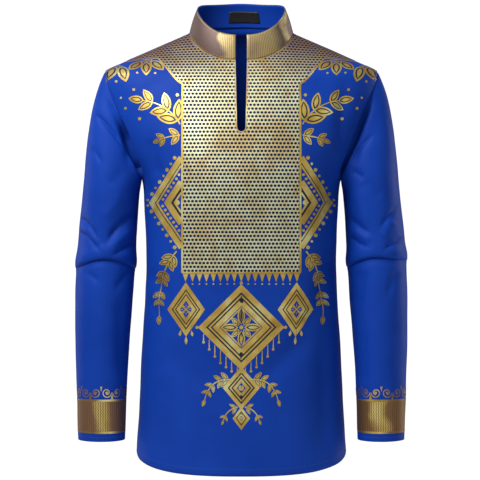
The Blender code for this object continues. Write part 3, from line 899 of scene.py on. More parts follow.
def lay_out(bm, columns, rows, place, turned=False, dark=False):
    """Cuts a flat grid, moves its points to place(across, up), in millimetres, and adds it to the mesh.

    Across and up go from 0 to 1. The grid's face looks towards whoever sees across run to the right and up
    run upwards, and the other way when it is turned. What is dark is ink, in the finish of the figures' foil.
    """
    patch = new_cloth()
    bmesh.ops.create_grid(patch, x_segments=columns, y_segments=rows, size=0.5, calc_uvs=True)
    if dark:
        layer = patch.loops.layers.uv["cloth"]
        for face in patch.faces:
            for corner in face.loops:
                corner[layer].uv.x -= INK_SHIFT
    for vertex in patch.verts:
        vertex.co = place(vertex.co.x + 0.5, vertex.co.y + 0.5) * MM
    if turned:
        bmesh.ops.reverse_faces(patch, faces=patch.faces[:])
    mesh = bpy.data.meshes.new("patch")
    patch.to_mesh(mesh)
    patch.free()
    bm.from_mesh(mesh)
    bpy.data.meshes.remove(mesh)


def join(bm, reach=SAME_POINT):
    """Joins what lies together, so that grids laid edge to edge become one cloth."""
    bmesh.ops.remove_doubles(bm, verts=bm.verts[:], dist=reach * MM)


def finish_piece(name, bm, material, wall=0.0):
    """Makes the mesh an object that rides with the shirt, and gives it a wall of this thickness inwards."""
    mesh = bpy.data.meshes.new(name)
    bm.to_mesh(mesh)
    bm.free()
    mesh.materials.append(material)
    mesh.shade_smooth()
    piece = bpy.data.objects.new(name, mesh)
    bpy.context.scene.collection.objects.link(piece)
    if wall:
        solidify = piece.modifiers.new("wall", "SOLIDIFY")
        solidify.thickness = wall * MM
        solidify.offset = -1
    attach(piece, "root")
    return piece


# ---------------------------------------------------------------- the cut pieces
def make_panel(name, cad_node, material):
    """The front or the back: two halves, joined down the centre below the slit."""
    behind = cad_node == "back"
    bm = new_cloth()
    rows = BODY_ROWS + ARMHOLE_ROWS + SHOULDER_ROWS
    for side in (1, -1):
        def place(across, up):
            return body_cloth(*panel_spot(up * rows, 1 - (1 - across) ** CLOSER, behind), side)

        lay_out(bm, HALF_COLUMNS, PANEL_STEPS, place, turned=(side < 0) != behind)
    join(bm)
    piece = finish_piece(name, bm, material, CLOTH)
    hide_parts(cad_node)
    return piece


def make_sleeve(side, material):
    """One sleeve, sewn to a tube down its inner edge."""
    bm = new_cloth()
    head = CAP_STEPS / (CAP_STEPS + ARM_STEPS)

    def place(around, up):
        down = 1 - up
        if down < head:
            return sleeve_cloth((down / head) ** CLOSER, 360 * around, side)
        share = (down - head) / (1 - head)
        share -= ELBOW_CLOSER * (sine(360 * (share - ELBOW_AT)) + sine(360 * ELBOW_AT)) / math.tau
        return sleeve_cloth(min(1 + share, 2), 360 * around, side)

    lay_out(bm, SLEEVE_COLUMNS, CAP_STEPS + ARM_STEPS, place, turned=side == "right")
    join(bm)
    piece = finish_piece(f"{side}_sleeve", bm, material, CLOTH)
    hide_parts(f"sleeve_{side}_upper", f"sleeve_{side}_lower")
    return piece


def collar_cloth(turn, up, side, depth):
    """A point of the collar, at a depth behind its outer face."""
    point = collar_point(turn, up)
    around = collar_point(min(turn + NUDGE, 180), up) - collar_point(turn - NUDGE, up)
    rise = collar_point(turn, up + COLLAR_NUDGE) - collar_point(turn, up - COLLAR_NUDGE)
    point -= around.cross(rise).normalized() * depth
    point.x *= side
    return point


def on_collar(across, up, lift):
    """A point on the collar's outside. Across goes from one end at the slit to the other, from 0 to 1."""
    turn = mix(1, -1, across) * (180 - neck_start())
    return collar_cloth(180 - abs(turn), up, -1 if turn < 0 else 1, -lift)


def make_collar(name, cad_node, material, depth):
    """One ply of the stand collar, from one end at the slit round to the other."""
    bm = new_cloth()
    lay_out(bm, 2 * COLLAR_COLUMNS, COLLAR_STEPS, lambda across, up: on_collar(across, up, -depth))
    piece = finish_piece(name, bm, material, COLLAR_PLY)
    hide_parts(cad_node)
    return piece


def on_label(across, up, lift):
    """A point of the label, which lies on the collar's inner ply and is seen from the neck's inside."""
    x = LABEL_CENTRE_X + (across - 0.5) * LABEL_WIDTH
    turn = 180 - math.degrees(math.asin(abs(x) / NECK_HALF_WIDTH))
    return collar_cloth(turn, mix(LABEL_LOW, LABEL_HIGH, up), math.copysign(1, x), LABEL_DEPTH + lift)


def make_label(material):
    """The small black label, left blank, inside the collar at the back of the neck."""
    bm = new_cloth()
    lay_out(bm, LABEL_COLUMNS, LABEL_STEPS, lambda across, up: on_label(across, up, 0))
    piece = finish_piece("label", bm, material, LABEL_PLY)
    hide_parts("neck_label")
    return piece


# ---------------------------------------------------------------- where the print lies on the front
def top_of_front(x):
    """Height of the front's upper edge, at the neckline and then at the shoulder seam."""
    if x <= NECK_HALF_WIDTH:
        turn = math.degrees(math.asin(max(x, SLIT_HALF_TOP) / NECK_HALF_WIDTH))
        return ring_height(NECK_FRONT, NECK_SIDE, NECK_BACK, turn)
    low, high = SHOULDER_TIP, NECK_SIDE
    for _ in range(HALVINGS):
        middle = (low + high) / 2
        low, high = (middle, high) if section(middle)[0] > x else (low, middle)
    return low


@functools.lru_cache(maxsize=None)
def climb(x):
    """(length of cloth, height) pairs up the front from YOKE_START, at this distance from the centre."""
    top = top_of_front(x)
    pairs, before, length = [], None, YOKE_START
    for step in range(CLIMB_STEPS + 1):
        height = mix(YOKE_START, top, 1 - (1 - step / CLIMB_STEPS) ** 2)
        point = torso(angle_at(x, height), height)
        if before is not None:
            length += (point - before).length
        pairs.append((length, height))
        before = point
    return pairs


def cloth_top(x):
    """How far up the cloth's own measure the front's upper edge lies."""
    return climb(round(abs(x), 1))[-1][0]


def height_on_cloth(x, up):
    """The height of a point of the front, whose place up the cloth is measured along the cloth."""
    if up <= YOKE_START:
        return up
    pairs = climb(round(abs(x), 1))
    for low, high in zip(pairs, pairs[1:]):
        if up <= high[0]:
            return mix(low[1], high[1], (up - low[0]) / (high[0] - low[0]))
    return pairs[-1][1]


def on_front(x, up, lift):
    """A point of the front at x across and up the cloth, lifted off it."""
    height = height_on_cloth(x, up)
    return body_cloth(angle_at(abs(x), height), height, -1 if x < 0 else 1, lift)


def on_back(x, height, lift):
    """A point of the back, at x as it is seen from behind."""
    return body_cloth(angle_at(abs(x), height, behind=True), height, 1 if x < 0 else -1, lift)


def on_cuff(side):
    """Where a sleeve's print lies: across is measured along the cloth from centre front, towards +X."""
    way = 1 if side == "left" else -1

    def place(across, height, lift):
        along = 1 + (SLEEVE_TOP - height) / (SLEEVE_TOP - SLEEVE_END)
        return sleeve_cloth(along, 90 + way * across * CUFF_DEGREES, side, lift)
    return place


# ---------------------------------------------------------------- drawing with foil and thread
def resample(points, longest):
    """The same line with no stretch longer than this."""
    path = [Vector(points[0])]
    for start, end in zip(points, points[1:]):
        start, end = Vector(start), Vector(end)
        pieces = max(1, math.ceil((end - start).length / longest))
        path += [start.lerp(end, i / pieces) for i in range(1, pieces + 1)]
    return path


def stroke(bm, place, points, width, closed=False, dark=False):
    """A ribbon of foil or ink along a line. The width is a number, or a rule from 0 to 1 along the line."""
    path = resample(points, PEN_STEP)
    count = len(path) - 1
    lift = INK_LIFT if dark else LINE_LIFT
    widths = [width(i / count) if callable(width) else width for i in range(count + 1)]

    def side_way(i):
        if closed:
            before, after = path[i - 1 if i else count - 1], path[i + 1 if i < count else 1]
        else:
            before, after = path[max(i - 1, 0)], path[min(i + 1, count)]
        ways = [way.normalized() for way in (path[i] - before, after - path[i]) if way.length > NO_LENGTH]
        run = sum(ways, Vector((0, 0))).normalized()
        return Vector((-run.y, run.x)) / max(run.dot(ways[0]), SHARPEST)

    ways = [side_way(i) for i in range(count + 1)]

    def spot(along, across):
        i = round(along * count)
        at = path[i] + ways[i] * widths[i] * (across - 0.5)
        return place(at.x, at.y, lift)

    lay_out(bm, count, math.ceil(max(widths) / PEN_WIDTH), spot, dark=dark)


def line(start, end, steps=1):
    return [tuple(mix(a, b, i / steps) for a, b in zip(start, end)) for i in range(steps + 1)]


def curve(start, start_handle, end_handle, end, steps=CURVE_STEPS):
    """Points of a Bezier curve in the plane of the print."""
    points = []
    for i in range(steps + 1):
        t = i / steps
        shares = ((1 - t) ** 3, 3 * t * (1 - t) ** 2, 3 * t * t * (1 - t), t**3)
        points.append(tuple(sum(s * p[axis] for s, p in zip(shares, (start, start_handle, end_handle, end)))
                            for axis in (0, 1)))
    return points


def ring(centre, radius, start=0, sweep=360, steps=SMALL_RING_STEPS):
    """Points round a circle, or the part of one that these degrees take in."""
    return [(centre[0] + radius * cosine(start + sweep * i / steps),
             centre[1] + radius * sine(start + sweep * i / steps)) for i in range(steps + 1)]


def spiral(centre, radius, start, hand):
    """A scroll that winds outwards from near its centre."""
    points = []
    for i in range(SCROLL_STEPS + 1):
        share = i / SCROLL_STEPS
        turn = start - hand * 360 * SCROLL_TURNS * (1 - share)
        reach = radius * mix(SCROLL_EYE, 1, share)
        points.append((centre[0] + reach * cosine(turn), centre[1] + reach * sine(turn)))
    return points


def towards(turn):
    return Vector((cosine(turn), sine(turn)))


def swung(way, degrees):
    return Vector((way.x * cosine(degrees) - way.y * sine(degrees),
                   way.x * sine(degrees) + way.y * cosine(degrees)))


def dot(bm, place, centre, radius):
    stroke(bm, place, ring(centre, radius / 2), radius, closed=True)


def spike(bm, place, start, end, width, steps=SPIKE_STEPS):
    """A stroke that narrows to a point."""
    stroke(bm, place, line(start, end, steps), lambda t: mix(width, POINT, t))


def petal(bm, place, start, end, width, fullness, dark=False):
    """A filled leaf or petal. At a fullness below 1 it is widest near its start, and above 1 near its end."""
    def how_wide(t):
        return POINT + width * sine(180 * t**fullness)

    stroke(bm, place, line(start, end, PETAL_STEPS), how_wide, dark=dark)


def leaf(bm, place, start, end, width):
    """An outlined leaf with a core, and a dark line between them."""
    start, end = Vector(start), Vector(end)
    run = end - start
    first, second, bulge = LEAF_HANDLES
    out = Vector((-run.y, run.x)).normalized() * width * bulge
    there = curve(start, start + run * first + out, start + run * second + out, end, LEAF_STEPS)
    back = curve(end, start + run * second - out, start + run * first - out, start, LEAF_STEPS)
    stroke(bm, place, there + back[1:], width * LEAF_LINE, closed=True)
    petal(bm, place, start, end, width * LEAF_DARK, LEAF_FULLNESS, dark=True)
    core_start, core_end, core_width = LEAF_CORE
    petal(bm, place, start + run * core_start, start + run * core_end, width * core_width, LEAF_FULLNESS)


def branch(bm, place, start, start_handle, end_handle, end, leaves, length, width, spread):
    """A curved stem with pairs of leaves that grow smaller towards its tip, and one leaf at the tip."""
    path = curve(start, start_handle, end_handle, end)
    stroke(bm, place, path, lambda t: mix(STEM, STEM / 2, t))
    path = [Vector(point) for point in path]
    for i in range(leaves):
        at = round(mix(1, len(path) - 3, i / max(leaves - 1, 1)))
        way = (path[at + 1] - path[at]).normalized()
        size = mix(1, LAST_LEAF, i / leaves)
        for side in (1, -1):
            leaf(bm, place, path[at], path[at] + swung(way, side * spread) * length * size, width * size)
    way = (path[-1] - path[-2]).normalized()
    leaf(bm, place, path[-1], path[-1] + way * length * TIP_LEAF[0], width * TIP_LEAF[1])


def daisy(bm, place, centre, radius, petals, start=0, sweep=360):
    """A flower, or the part of one that these degrees take in."""
    centre = Vector(centre)
    whole = sweep == 360
    leaf_start, leaf_width = DAISY_LEAF
    petal_start, petal_end, petal_width, fullness = DAISY_PETAL
    half = sweep / petals / 2
    for i in range(petals):
        turn = start + sweep * (i + 0.5) / petals
        way, between = towards(turn) * radius, towards(turn + half) * radius
        leaf(bm, place, centre + way * leaf_start, centre + way, radius * leaf_width)
        if whole:
            petal(bm, place, centre + between * petal_start, centre + between * petal_end,
                  radius * petal_width, fullness)
        if i < petals - 1:
            dot(bm, place, centre + between, radius * DAISY_DOT)
    for share, width, steps in DAISY_RINGS:
        stroke(bm, place, ring(centre, radius * share, start, sweep, steps), radius * width, closed=whole)


def lozenge(centre, half_width, half_height):
    x, up = centre
    return [(x, up + half_height), (x - half_width, up), (x, up - half_height), (x + half_width, up),
            (x, up + half_height)]


def lozenges(bm, place, centre, half_width, half_height, lines):
    """Lozenges one in another. The ground is dark from the outer line in to the third, or to the last."""
    outer, inner = lines[0][0], lines[min(2, len(lines) - 1)][0]
    reach = (outer - inner) * half_width * half_height / math.hypot(half_width, half_height)
    for share, width in (((outer + inner) / 2, reach), *lines):
        stroke(bm, place, lozenge(centre, half_width * share, half_height * share), width, closed=True,
               dark=width == reach)


def on_both_sides(bm, draw):
    """Draws on the front's +X half and then the same, mirrored, on the other."""
    draw(on_front)
    before = set(bm.faces)
    draw(lambda x, up, lift: on_front(-x, up, lift))
    bmesh.ops.reverse_faces(bm, faces=[face for face in bm.faces if face not in before])


def stitches(bm, place, points, pitch, lift=0.0):
    """A row of small raised stitches along a line, this far from one to the next."""
    path = resample(points, STITCH_FINE)
    length, marks = 0.0, [path[0]]
    for start, end in zip(path, path[1:]):
        length += (end - start).length
        if length >= pitch:
            marks.append(end)
            length = 0.0
    for start, end in zip(marks, marks[1:]):
        run = end - start
        out = Vector((-run.y, run.x)).normalized() * STITCH_WIDTH

        def place_thread(along, across):
            at = start + run * mix(STITCH_GAP, 1 - STITCH_GAP, along) + out * (across - 0.5)
            crown = (1 - (2 * across - 1) ** 2) * (1 - (2 * along - 1) ** STITCH_BLUNT)
            return place(at.x, at.y, lift + STITCH_FOOT + STITCH_RISE * crown)

        lay_out(bm, STITCH_COLUMNS, STITCH_ROWS, place_thread)


# ---------------------------------------------------------------- the bib
def yoke_foot(x):
    """How far down the cloth the yoke's print reaches at a distance from the centre."""
    if x <= BIB_HALF:
        return BIB_FOOT
    if x <= YOKE_HALF:
        share = (x - BIB_HALF) / (YOKE_HALF - BIB_HALF)
        return mix(YOKE_CORNER, YOKE_END, share**YOKE_SWEEP)
    return YOKE_END


def slit_edge(up):
    """The distance from the centre at which the bib's foil stops beside the slit."""
    above = up - SLIT_BOTTOM + SLIT_HEM
    if above <= 0:
        return 0
    half = slit_half_width(up) + SLIT_HEM
    return half if above > half else math.sqrt(half**2 - (half - above) ** 2)


def in_bib(x, up):
    away = abs(x)
    if away <= slit_edge(up) - DOT_MARGIN or away >= YOKE_TAIL_X:
        return False
    return yoke_foot(away) < up < cloth_top(away) - DOT_MARGIN


def holed_cell(x, up):
    """Where a hole with the foil round it lies: around it from 0 to 1, and inwards from the cell's edge."""
    side = -1 if x < 0 else 1

    def place(around, inwards):
        ahead, rise = cosine(360 * around), sine(360 * around)
        if inwards > 0.5:
            at_x, at_up = x + DOT_WIDTH / 2 * ahead, up + DOT_HEIGHT / 2 * rise
        else:
            square = max(abs(ahead), abs(rise))
            at_x, at_up = x + DOT_PITCH / 2 * ahead / square, up + DOT_ROW / 2 * rise / square
        out = at_x * side
        if slit_edge(up) > 0:
            out = max(out, slit_edge(at_up))
        if up < YOKE_CORNER:
            out = min(out, BIB_HALF)
        at_up = min(max(at_up, yoke_foot(abs(out))), cloth_top(abs(out)) - FOIL_INSET)
        return on_front(out * side, at_up, FOIL_LIFT)
    return place


def hole_ground(x, up):
    """Where the dark print under a hole lies."""
    def place(around, inwards):
        reach = DOT_GROUND * (1 - inwards)
        at = x + reach * cosine(360 * around), up + reach * sine(360 * around)
        return on_front(*at, GROUND_LIFT)
    return place


def make_bib(foil, ground):
    """The bib's ground: foil with staggered rows of holes, and the dark print that shows in each of them."""
    bm, dots = new_cloth(), new_cloth()
    columns = math.ceil(YOKE_TAIL_X / DOT_PITCH)
    rows = math.ceil((YOKE_TOP - BIB_FOOT) / DOT_ROW)
    for row in range(rows):
        for column in range(-columns, columns + 1):
            x, up = (column + (row % 2) / 2) * DOT_PITCH, BIB_FOOT + (row + 0.5) * DOT_ROW
            if not in_bib(x, up):
                continue
            lay_out(bm, DOT_SIDES, 1, holed_cell(x, up))
            if in_bib(max(abs(x) - DOT_GROUND, 0), up - DOT_GROUND) and in_bib(x, up + DOT_GROUND):
                lay_out(dots, DOT_SIDES, 1, hole_ground(x, up))
    join(bm, FOIL_JOIN)
    join(dots, FOIL_JOIN)
    return [finish_piece("bib_foil", bm, foil),
            finish_piece("bib_dots", dots, ground)]


def slit_line(away):
    """Points from the slit's foot up one of its sides, this far outside its edge."""
    half, foot = SLIT_HALF_BOTTOM + away, SLIT_BOTTOM - away
    turns = [90 * i / SLIT_TURN_STEPS for i in range(SLIT_TURN_STEPS + 1)]
    points = [(half * sine(turn), foot + half * (1 - cosine(turn))) for turn in turns]
    end = cloth_top(BESIDE_SLIT)
    heights = [mix(foot + half, end, i / SLIT_STEPS) for i in range(1, SLIT_STEPS + 1)]
    return points + [(slit_half_width(up) + away, up) for up in heights]


def make_borders(material):
    """The bib's lines: down both sides, round the yoke, at the neck and beside the slit."""
    bm = new_cloth()

    def draw(place):
        turns = [90 * i / YOKE_STEPS for i in range(1, YOKE_STEPS + 1)]
        sweep = [mix(BIB_HALF + YOKE_INSET, YOKE_HALF, sine(turn)) for turn in turns]
        yoke = [(BIB_HALF, BIB_FOOT), (BIB_HALF, YOKE_CORNER)] + [(x, yoke_foot(x)) for x in sweep]
        stroke(bm, place, yoke, BORDER)
        stroke(bm, place, [(YOKE_HALF, YOKE_END), (YOKE_TAIL_X, YOKE_END)], YOKE_BORDER)
        across = [mix(BESIDE_SLIT, NECK_HALF_WIDTH, i / NECK_STEPS) for i in range(NECK_STEPS + 1)]
        stroke(bm, place, [(x, cloth_top(x) - NECK_INSET) for x in across], NECK_LINE)
        stroke(bm, place, slit_line(SLIT_LINE_AWAY), SLIT_LINE)

    on_both_sides(bm, draw)
    stroke(bm, on_front, [(-BIB_HALF, BIB_FOOT), (BIB_HALF, BIB_FOOT)], BORDER)
    return finish_piece("bib_borders", bm, material)


# ---------------------------------------------------------------- the figured print
def make_figures(name, material, draw, draw_middle=None):
    """A piece of foil figures: some in the middle alone, and others on both sides of it."""
    bm = new_cloth()
    if draw_middle:
        draw_middle(bm, on_front)
    on_both_sides(bm, lambda place: draw(bm, place))
    join(bm)
    return finish_piece(name, bm, material)


def draw_teeth(bm, place):
    pitch = 2 * BIB_HALF / TEETH
    below, radius = TOOTH_DOT
    for i in range(TEETH):
        x = -BIB_HALF + (i + 0.5) * pitch
        spike(bm, place, (x, TOOTH_TOP), (x, TOOTH_FOOT), pitch * TOOTH_SHARE, TOOTH_STEPS)
        dot(bm, place, (x, TOOTH_FOOT - below), radius)


def draw_pendant_middle(bm, place):
    """The teeth at the bib's foot, and the lozenges that hang from it, the first with a star in it."""
    draw_teeth(bm, place)
    for x, up, half_width, half_height, radius, lines in LOZENGES:
        lozenges(bm, place, (x, up), half_width, half_height, lines)
        dot(bm, place, (x, up), radius)
    x, up, half = LOZENGES[0][:3]
    centre = Vector((x, up))
    away, radius = STAR_DOT
    for turn in range(0, 360, 90):
        for angle, start, end, width in STAR:
            way = towards(turn + angle) * half
            leaf(bm, place, centre + way * start, centre + way * end, half * width)
        dot(bm, place, centre + towards(turn) * half * away, radius)


def draw_pendant_side(bm, place):
    """The fringe of the first lozenge, the lozenge beside it with its drops, and two leafy branches."""
    x, up, half = LOZENGES[0][:3]
    below, radius = FRINGE_DOT
    for i in range(FRINGE):
        share = (i + FRINGE_FIRST) / FRINGE
        at_x, at_up = half * (1 - share) + FRINGE_AWAY, up - half * share - FRINGE_AWAY
        length = FRINGE_LONG * (1 - FRINGE_SHORTER * abs(2 * share - 1))
        strand = line((at_x, at_up), (at_x, at_up - length), TOOTH_STEPS)
        stroke(bm, place, strand, lambda t: mix(*FRINGE_WIDTHS, t))
        dot(bm, place, (at_x, at_up - length - below), radius)
    x, up, half_width, half_height = SIDE_LOZENGE
    lozenges(bm, place, (x, up), half_width, half_height, SIDE_LOZENGE_LINES)
    share, petals = SIDE_DAISY
    daisy(bm, place, (x, up), half_width * share, petals)
    lowest = Vector((x, up - half_height))
    for start, end in SIDE_DROPS:
        petal(bm, place, lowest + Vector(start), lowest + Vector(end), *SIDE_DROP_SHAPE)
    for row in PENDANT_BRANCHES:
        branch(bm, place, *row)


def draw_beside_bib(bm, place):
    """Nested half lozenges with a dotted edge, and a leafy stem under them."""
    x, up, half_width, half_height = HALF_LOZENGE
    for dark, rows in ((True, HALF_LOZENGE_INK), (False, HALF_LOZENGE_LINES)):
        for share, width in rows:
            reach, rise = half_width * share, half_height * share
            stroke(bm, place, [(x, up + rise), (x + reach, up), (x, up - rise)], width, dark=dark)
    out = Vector((half_height, half_width)).normalized() * EDGE_DOTS_AWAY
    end_x, end_share = EDGE_DOTS_END
    for way in (1, -1):
        for i in range(EDGE_DOTS):
            share = i / (EDGE_DOTS - 1)
            at = Vector((mix(x + half_width, x + end_x, share), mix(0, half_height * end_share, share))) + out
            dot(bm, place, (at.x, up + way * at.y), EDGE_DOT_RADII[i % 2])
        for i in range(INNER_DOTS):
            share = (i + INNER_DOTS_FIRST) / INNER_DOTS_SPAN
            at = Vector((half_width * (1 - share), half_height * share)) * INNER_DOTS_SHARE
            dot(bm, place, (x + at.x, up + way * at.y), INNER_DOT)
    start, end, width, fullness = HALF_LOZENGE_PETAL
    petal(bm, place, (x + start, up), (x + end, up), width, fullness)
    for row in SIDE_BRANCHES:
        branch(bm, place, *row)


def draw_at_shoulders(bm, place):
    """Leafy branches on the chest, and half flowers that hang from the shoulder seam."""
    for row in CHEST_BRANCHES:
        branch(bm, place, *row)
    for x, up, *flower in SHOULDER_FLOWERS:
        daisy(bm, place, (x, up), *flower)
    for x, up, radius in CHEST_DOTS:
        dot(bm, place, (x, up), radius)


# ---------------------------------------------------------------- the cuffs
def make_cuff(side, band_material, line_material):
    """The gold band round a sleeve's end, with its two edge lines and the running scroll above it."""
    place = on_cuff(side)
    whole = 360 / CUFF_DEGREES
    bm = new_cloth()
    lay_out(bm, SLEEVE_COLUMNS, CUFF_STEPS,
            lambda across, up: place((across - 0.5) * whole, mix(CUFF_LOW, CUFF_HIGH, up), FOIL_LIFT))
    join(bm)
    band = finish_piece(f"{side}_cuff_band", bm, band_material)

    bm = new_cloth()
    for height in (CUFF_LOW, CUFF_HIGH):
        stroke(bm, place, [(-whole / 2, height), (whole / 2, height)], CUFF_LINE)
    repeat = whole / SCROLL_PAIRS
    for i in range(SCROLL_PAIRS):
        middle = -whole / 2 + (i + 0.5) * repeat
        for way in (1, -1):
            centre = (middle + way * repeat / 4, SCROLL_HEIGHT)
            stroke(bm, place, spiral(centre, SCROLL_RADIUS, 90 - way * 90, way), SCROLL_LINE)
            dot(bm, place, centre, SCROLL_RADIUS * SCROLL_DOT)
        for x, (start, end, width) in ((middle + repeat / 2, CUFF_SPIKE), (middle, CUFF_BUD)):
            spike(bm, place, (x, start), (x, end), width)
    join(bm)
    lines = finish_piece(f"{side}_cuff_lines", bm, line_material)
    return [band, lines]


# ---------------------------------------------------------------- stitching
def hem_line(behind):
    """(x, height) points along a shirttail hem's stitching, as seen from the panel's own side."""
    points = []
    for i in range(HEM_POINTS + 1):
        angle = mix(-HEM_REACH, HEM_REACH, i / HEM_POINTS)
        height = hem_height(abs(angle)) + HEM_TURN
        x = torso(180 - abs(angle) if behind else abs(angle), height).x
        points.append((math.copysign(x, angle), height))
    return points


def make_seams(blue_thread, gold_thread):
    """Rows of stitches: the hems, the sleeves' ends, the collar's edges and the slit."""
    half = 180 / CUFF_DEGREES
    rows = {
        "front": ("front_hem_stitches", on_front, hem_line(False)),
        "back": ("back_hem_stitches", on_back, hem_line(True)),
        "left": ("left_sleeve_stitches", on_cuff("left"), [(-half, SLEEVE_HEM), (half, SLEEVE_HEM)]),
        "right": ("right_sleeve_stitches", on_cuff("right"), [(-half, SLEEVE_HEM), (half, SLEEVE_HEM)]),
    }
    pieces = {}
    for part, (name, place, points) in rows.items():
        bm = new_cloth()
        stitches(bm, place, points, STITCH)
        pieces[part] = [finish_piece(name, bm, blue_thread)]

    bm = new_cloth()
    on_both_sides(bm, lambda place: stitches(bm, place, slit_line(SLIT_STITCHES_AWAY), STITCH, FOIL_LIFT))
    pieces["front"].append(finish_piece("slit_stitches", bm, gold_thread))

    bm = new_cloth()

    def on_flat_collar(x, up, lift):
        return on_collar(x / COLLAR_LENGTH, up / COLLAR_HEIGHT, lift)

    for points in COLLAR_STITCHES:
        stitches(bm, on_flat_collar, points, STITCH)
    pieces["collar"] = [finish_piece("collar_stitches", bm, gold_thread)]
    return pieces


def make_label_stitches(material):
    """Black stitches round the label's edge."""
    bm = new_cloth()
    high = (LABEL_HIGH - LABEL_LOW) * COLLAR_HEIGHT
    low_x, high_x, low_up, high_up = LABEL_INSET, LABEL_WIDTH - LABEL_INSET, LABEL_INSET, high - LABEL_INSET
    corners = [(low_x, low_up), (high_x, low_up), (high_x, high_up), (low_x, high_up), (low_x, low_up)]
    for points in zip(corners, corners[1:]):
        stitches(bm, lambda x, up, lift: on_label(x / LABEL_WIDTH, up / high, lift), points, LABEL_STITCH)
    return finish_piece("label_stitches", bm, material)


# ---------------------------------------------------------------- finishes
def new_finish(name, colour, roughness=0.5, metallic=0.0):
    """A material and its shader, with what is the same all over set on the shader's own sockets."""
    material = bpy.data.materials.new(name)
    material.use_nodes = True
    shader = material.node_tree.nodes["Principled BSDF"]
    shader.inputs["Base Color"].default_value = (*colour, 1)
    shader.inputs["Roughness"].default_value = roughness
    shader.inputs["Metallic"].default_value = metallic
    return material, shader


def node(material, kind, settings=(), **inputs):
    """A node with its settings made and its inputs set or linked. An input is named with _ for a space."""
    made = material.node_tree.nodes.new(kind)
    for name, value in settings:
        setattr(made, name, value)
    for name, value in inputs.items():
        socket = made.inputs[int(name[1:])] if name[1:].isdigit() else made.inputs[name.replace("_", " ")]
        if isinstance(value, bpy.types.NodeSocket):
            material.node_tree.links.new(value, socket)
        else:
            socket.default_value = value
    return made


def show(material, shader, **outputs):
    """Links outputs to the shader's inputs, which are named with _ for a space."""
    for name, output in outputs.items():
        material.node_tree.links.new(output, shader.inputs[name.replace("_", " ")])


def place_in_shirt(material):
    return node(material, "ShaderNodeTexCoord").outputs["Object"]


def axes(material, vector):
    return node(material, "ShaderNodeSeparateXYZ", Vector=vector).outputs


def math_node(material, operation, a, b=0.0):
    return node(material, "ShaderNodeMath", [("operation", operation)], _0=a, _1=b).outputs["Value"]


def add(material, a, b):
    return math_node(material, "ADD", a, b)


def times(material, a, b):
    return math_node(material, "MULTIPLY", a, b)


def distance(material, a, b):
    """How far one value is from another."""
    return math_node(material, "ABSOLUTE", math_node(material, "SUBTRACT", a, b))


def cloud(material, coordinates, scale, detail):
    """Soft noise, mostly from 0.3 to 0.7, in patches of 1/scale metres."""
    return node(material, "ShaderNodeTexNoise", Vector=coordinates, Scale=scale, Detail=detail).outputs["Fac"]


def spread(material, value, low, high, to_low=0.0, to_high=1.0):
    """A value's range from low to high, stretched to another range."""
    made = node(material, "ShaderNodeMapRange", Value=value, From_Min=low, From_Max=high, To_Min=to_low,
                To_Max=to_high)
    return made.outputs["Result"]


def shades(material, fac, stops):
    """Colours along a ramp: stops are (place, colour) pairs."""
    ramp = node(material, "ShaderNodeValToRGB", Fac=fac)
    elements = ramp.color_ramp.elements
    while len(elements) < len(stops):
        elements.new(0.5)
    for element, (place, colour) in zip(elements, stops):
        element.position = place
        element.color = (*colour, 1)
    return ramp.outputs["Color"]


def blend(material, share, first, second):
    """A mix of two colours, each given as an output or as numbers."""
    first, second = ((*colour, 1) if isinstance(colour, tuple) else colour for colour in (first, second))
    return node(material, "ShaderNodeMix", [("data_type", "RGBA")], _0=share, _6=first, _7=second).outputs[2]


def bump(material, height, strength, depth):
    made = node(material, "ShaderNodeBump", Strength=strength, Distance=depth, Height=height)
    return made.outputs["Normal"]


def weave(material, threads):
    """The crossing threads of a plain weave, from the cloth's own UV map. Threads are per unit of the map."""
    uv = node(material, "ShaderNodeTexCoord").outputs["UV"]
    across, along = (
        node(material, "ShaderNodeTexWave", [("bands_direction", way)], Vector=uv, Scale=count * WAVE_SCALE)
        for way, count in zip("XY", threads))
    return math_node(material, "MAXIMUM", across.outputs["Fac"], along.outputs["Fac"])


def blue_cloth(name, threads):
    """Royal-blue smooth cotton with a slight satin sheen and faint patches, where the dye took unevenly."""
    material, shader = new_finish(name, BLUE)
    shader.inputs["Specular IOR Level"].default_value = LOW_SPECULAR
    shader.inputs["Sheen Weight"].default_value, shader.inputs["Sheen Roughness"].default_value = CLOTH_SHEEN
    shader.inputs["Sheen Tint"].default_value = (*BLUE_SHEEN, 1)
    place = place_in_shirt(material)
    dyed = shades(material, cloud(material, place, *DYE_PATCHES), DYED)
    slub = cloud(material, place, *SLUB)
    show(material, shader,
         Base_Color=blend(material, spread(material, slub, *NOISE, 0.0, SLUB_SHARE), dyed, BLUE_THREAD),
         Roughness=spread(material, slub, *NOISE, *CLOTH_ROUGHNESS),
         Normal=bump(material, add(material, weave(material, threads), slub), *CLOTH_BUMP))
    return material


def shoulder_painted_shade(material, place):
    """Painted shade: from 0 on the chest to 1 at the top of the shoulders, where the foil is painted darker.
    """
    x, _, z = axes(material, place)
    outwards = times(material, distance(material, x, 0.0), SHOULDER_SLANT)
    patches = times(material, cloud(material, place, *SHOULDER_SHADE_PATCHES), SHOULDER_SHADE_PATCH_SHARE)
    return spread(material, add(material, add(material, z, outwards), patches), *SHOULDER)


def show_grain(material, shader, place, roughness, depths):
    """The fine grain that cloth gives to foil, in its shine and its surface."""
    grain = cloud(material, place, *GRAIN)
    show(material, shader, Roughness=spread(material, grain, *NOISE, *roughness),
         Normal=bump(material, grain, *depths))
    return grain


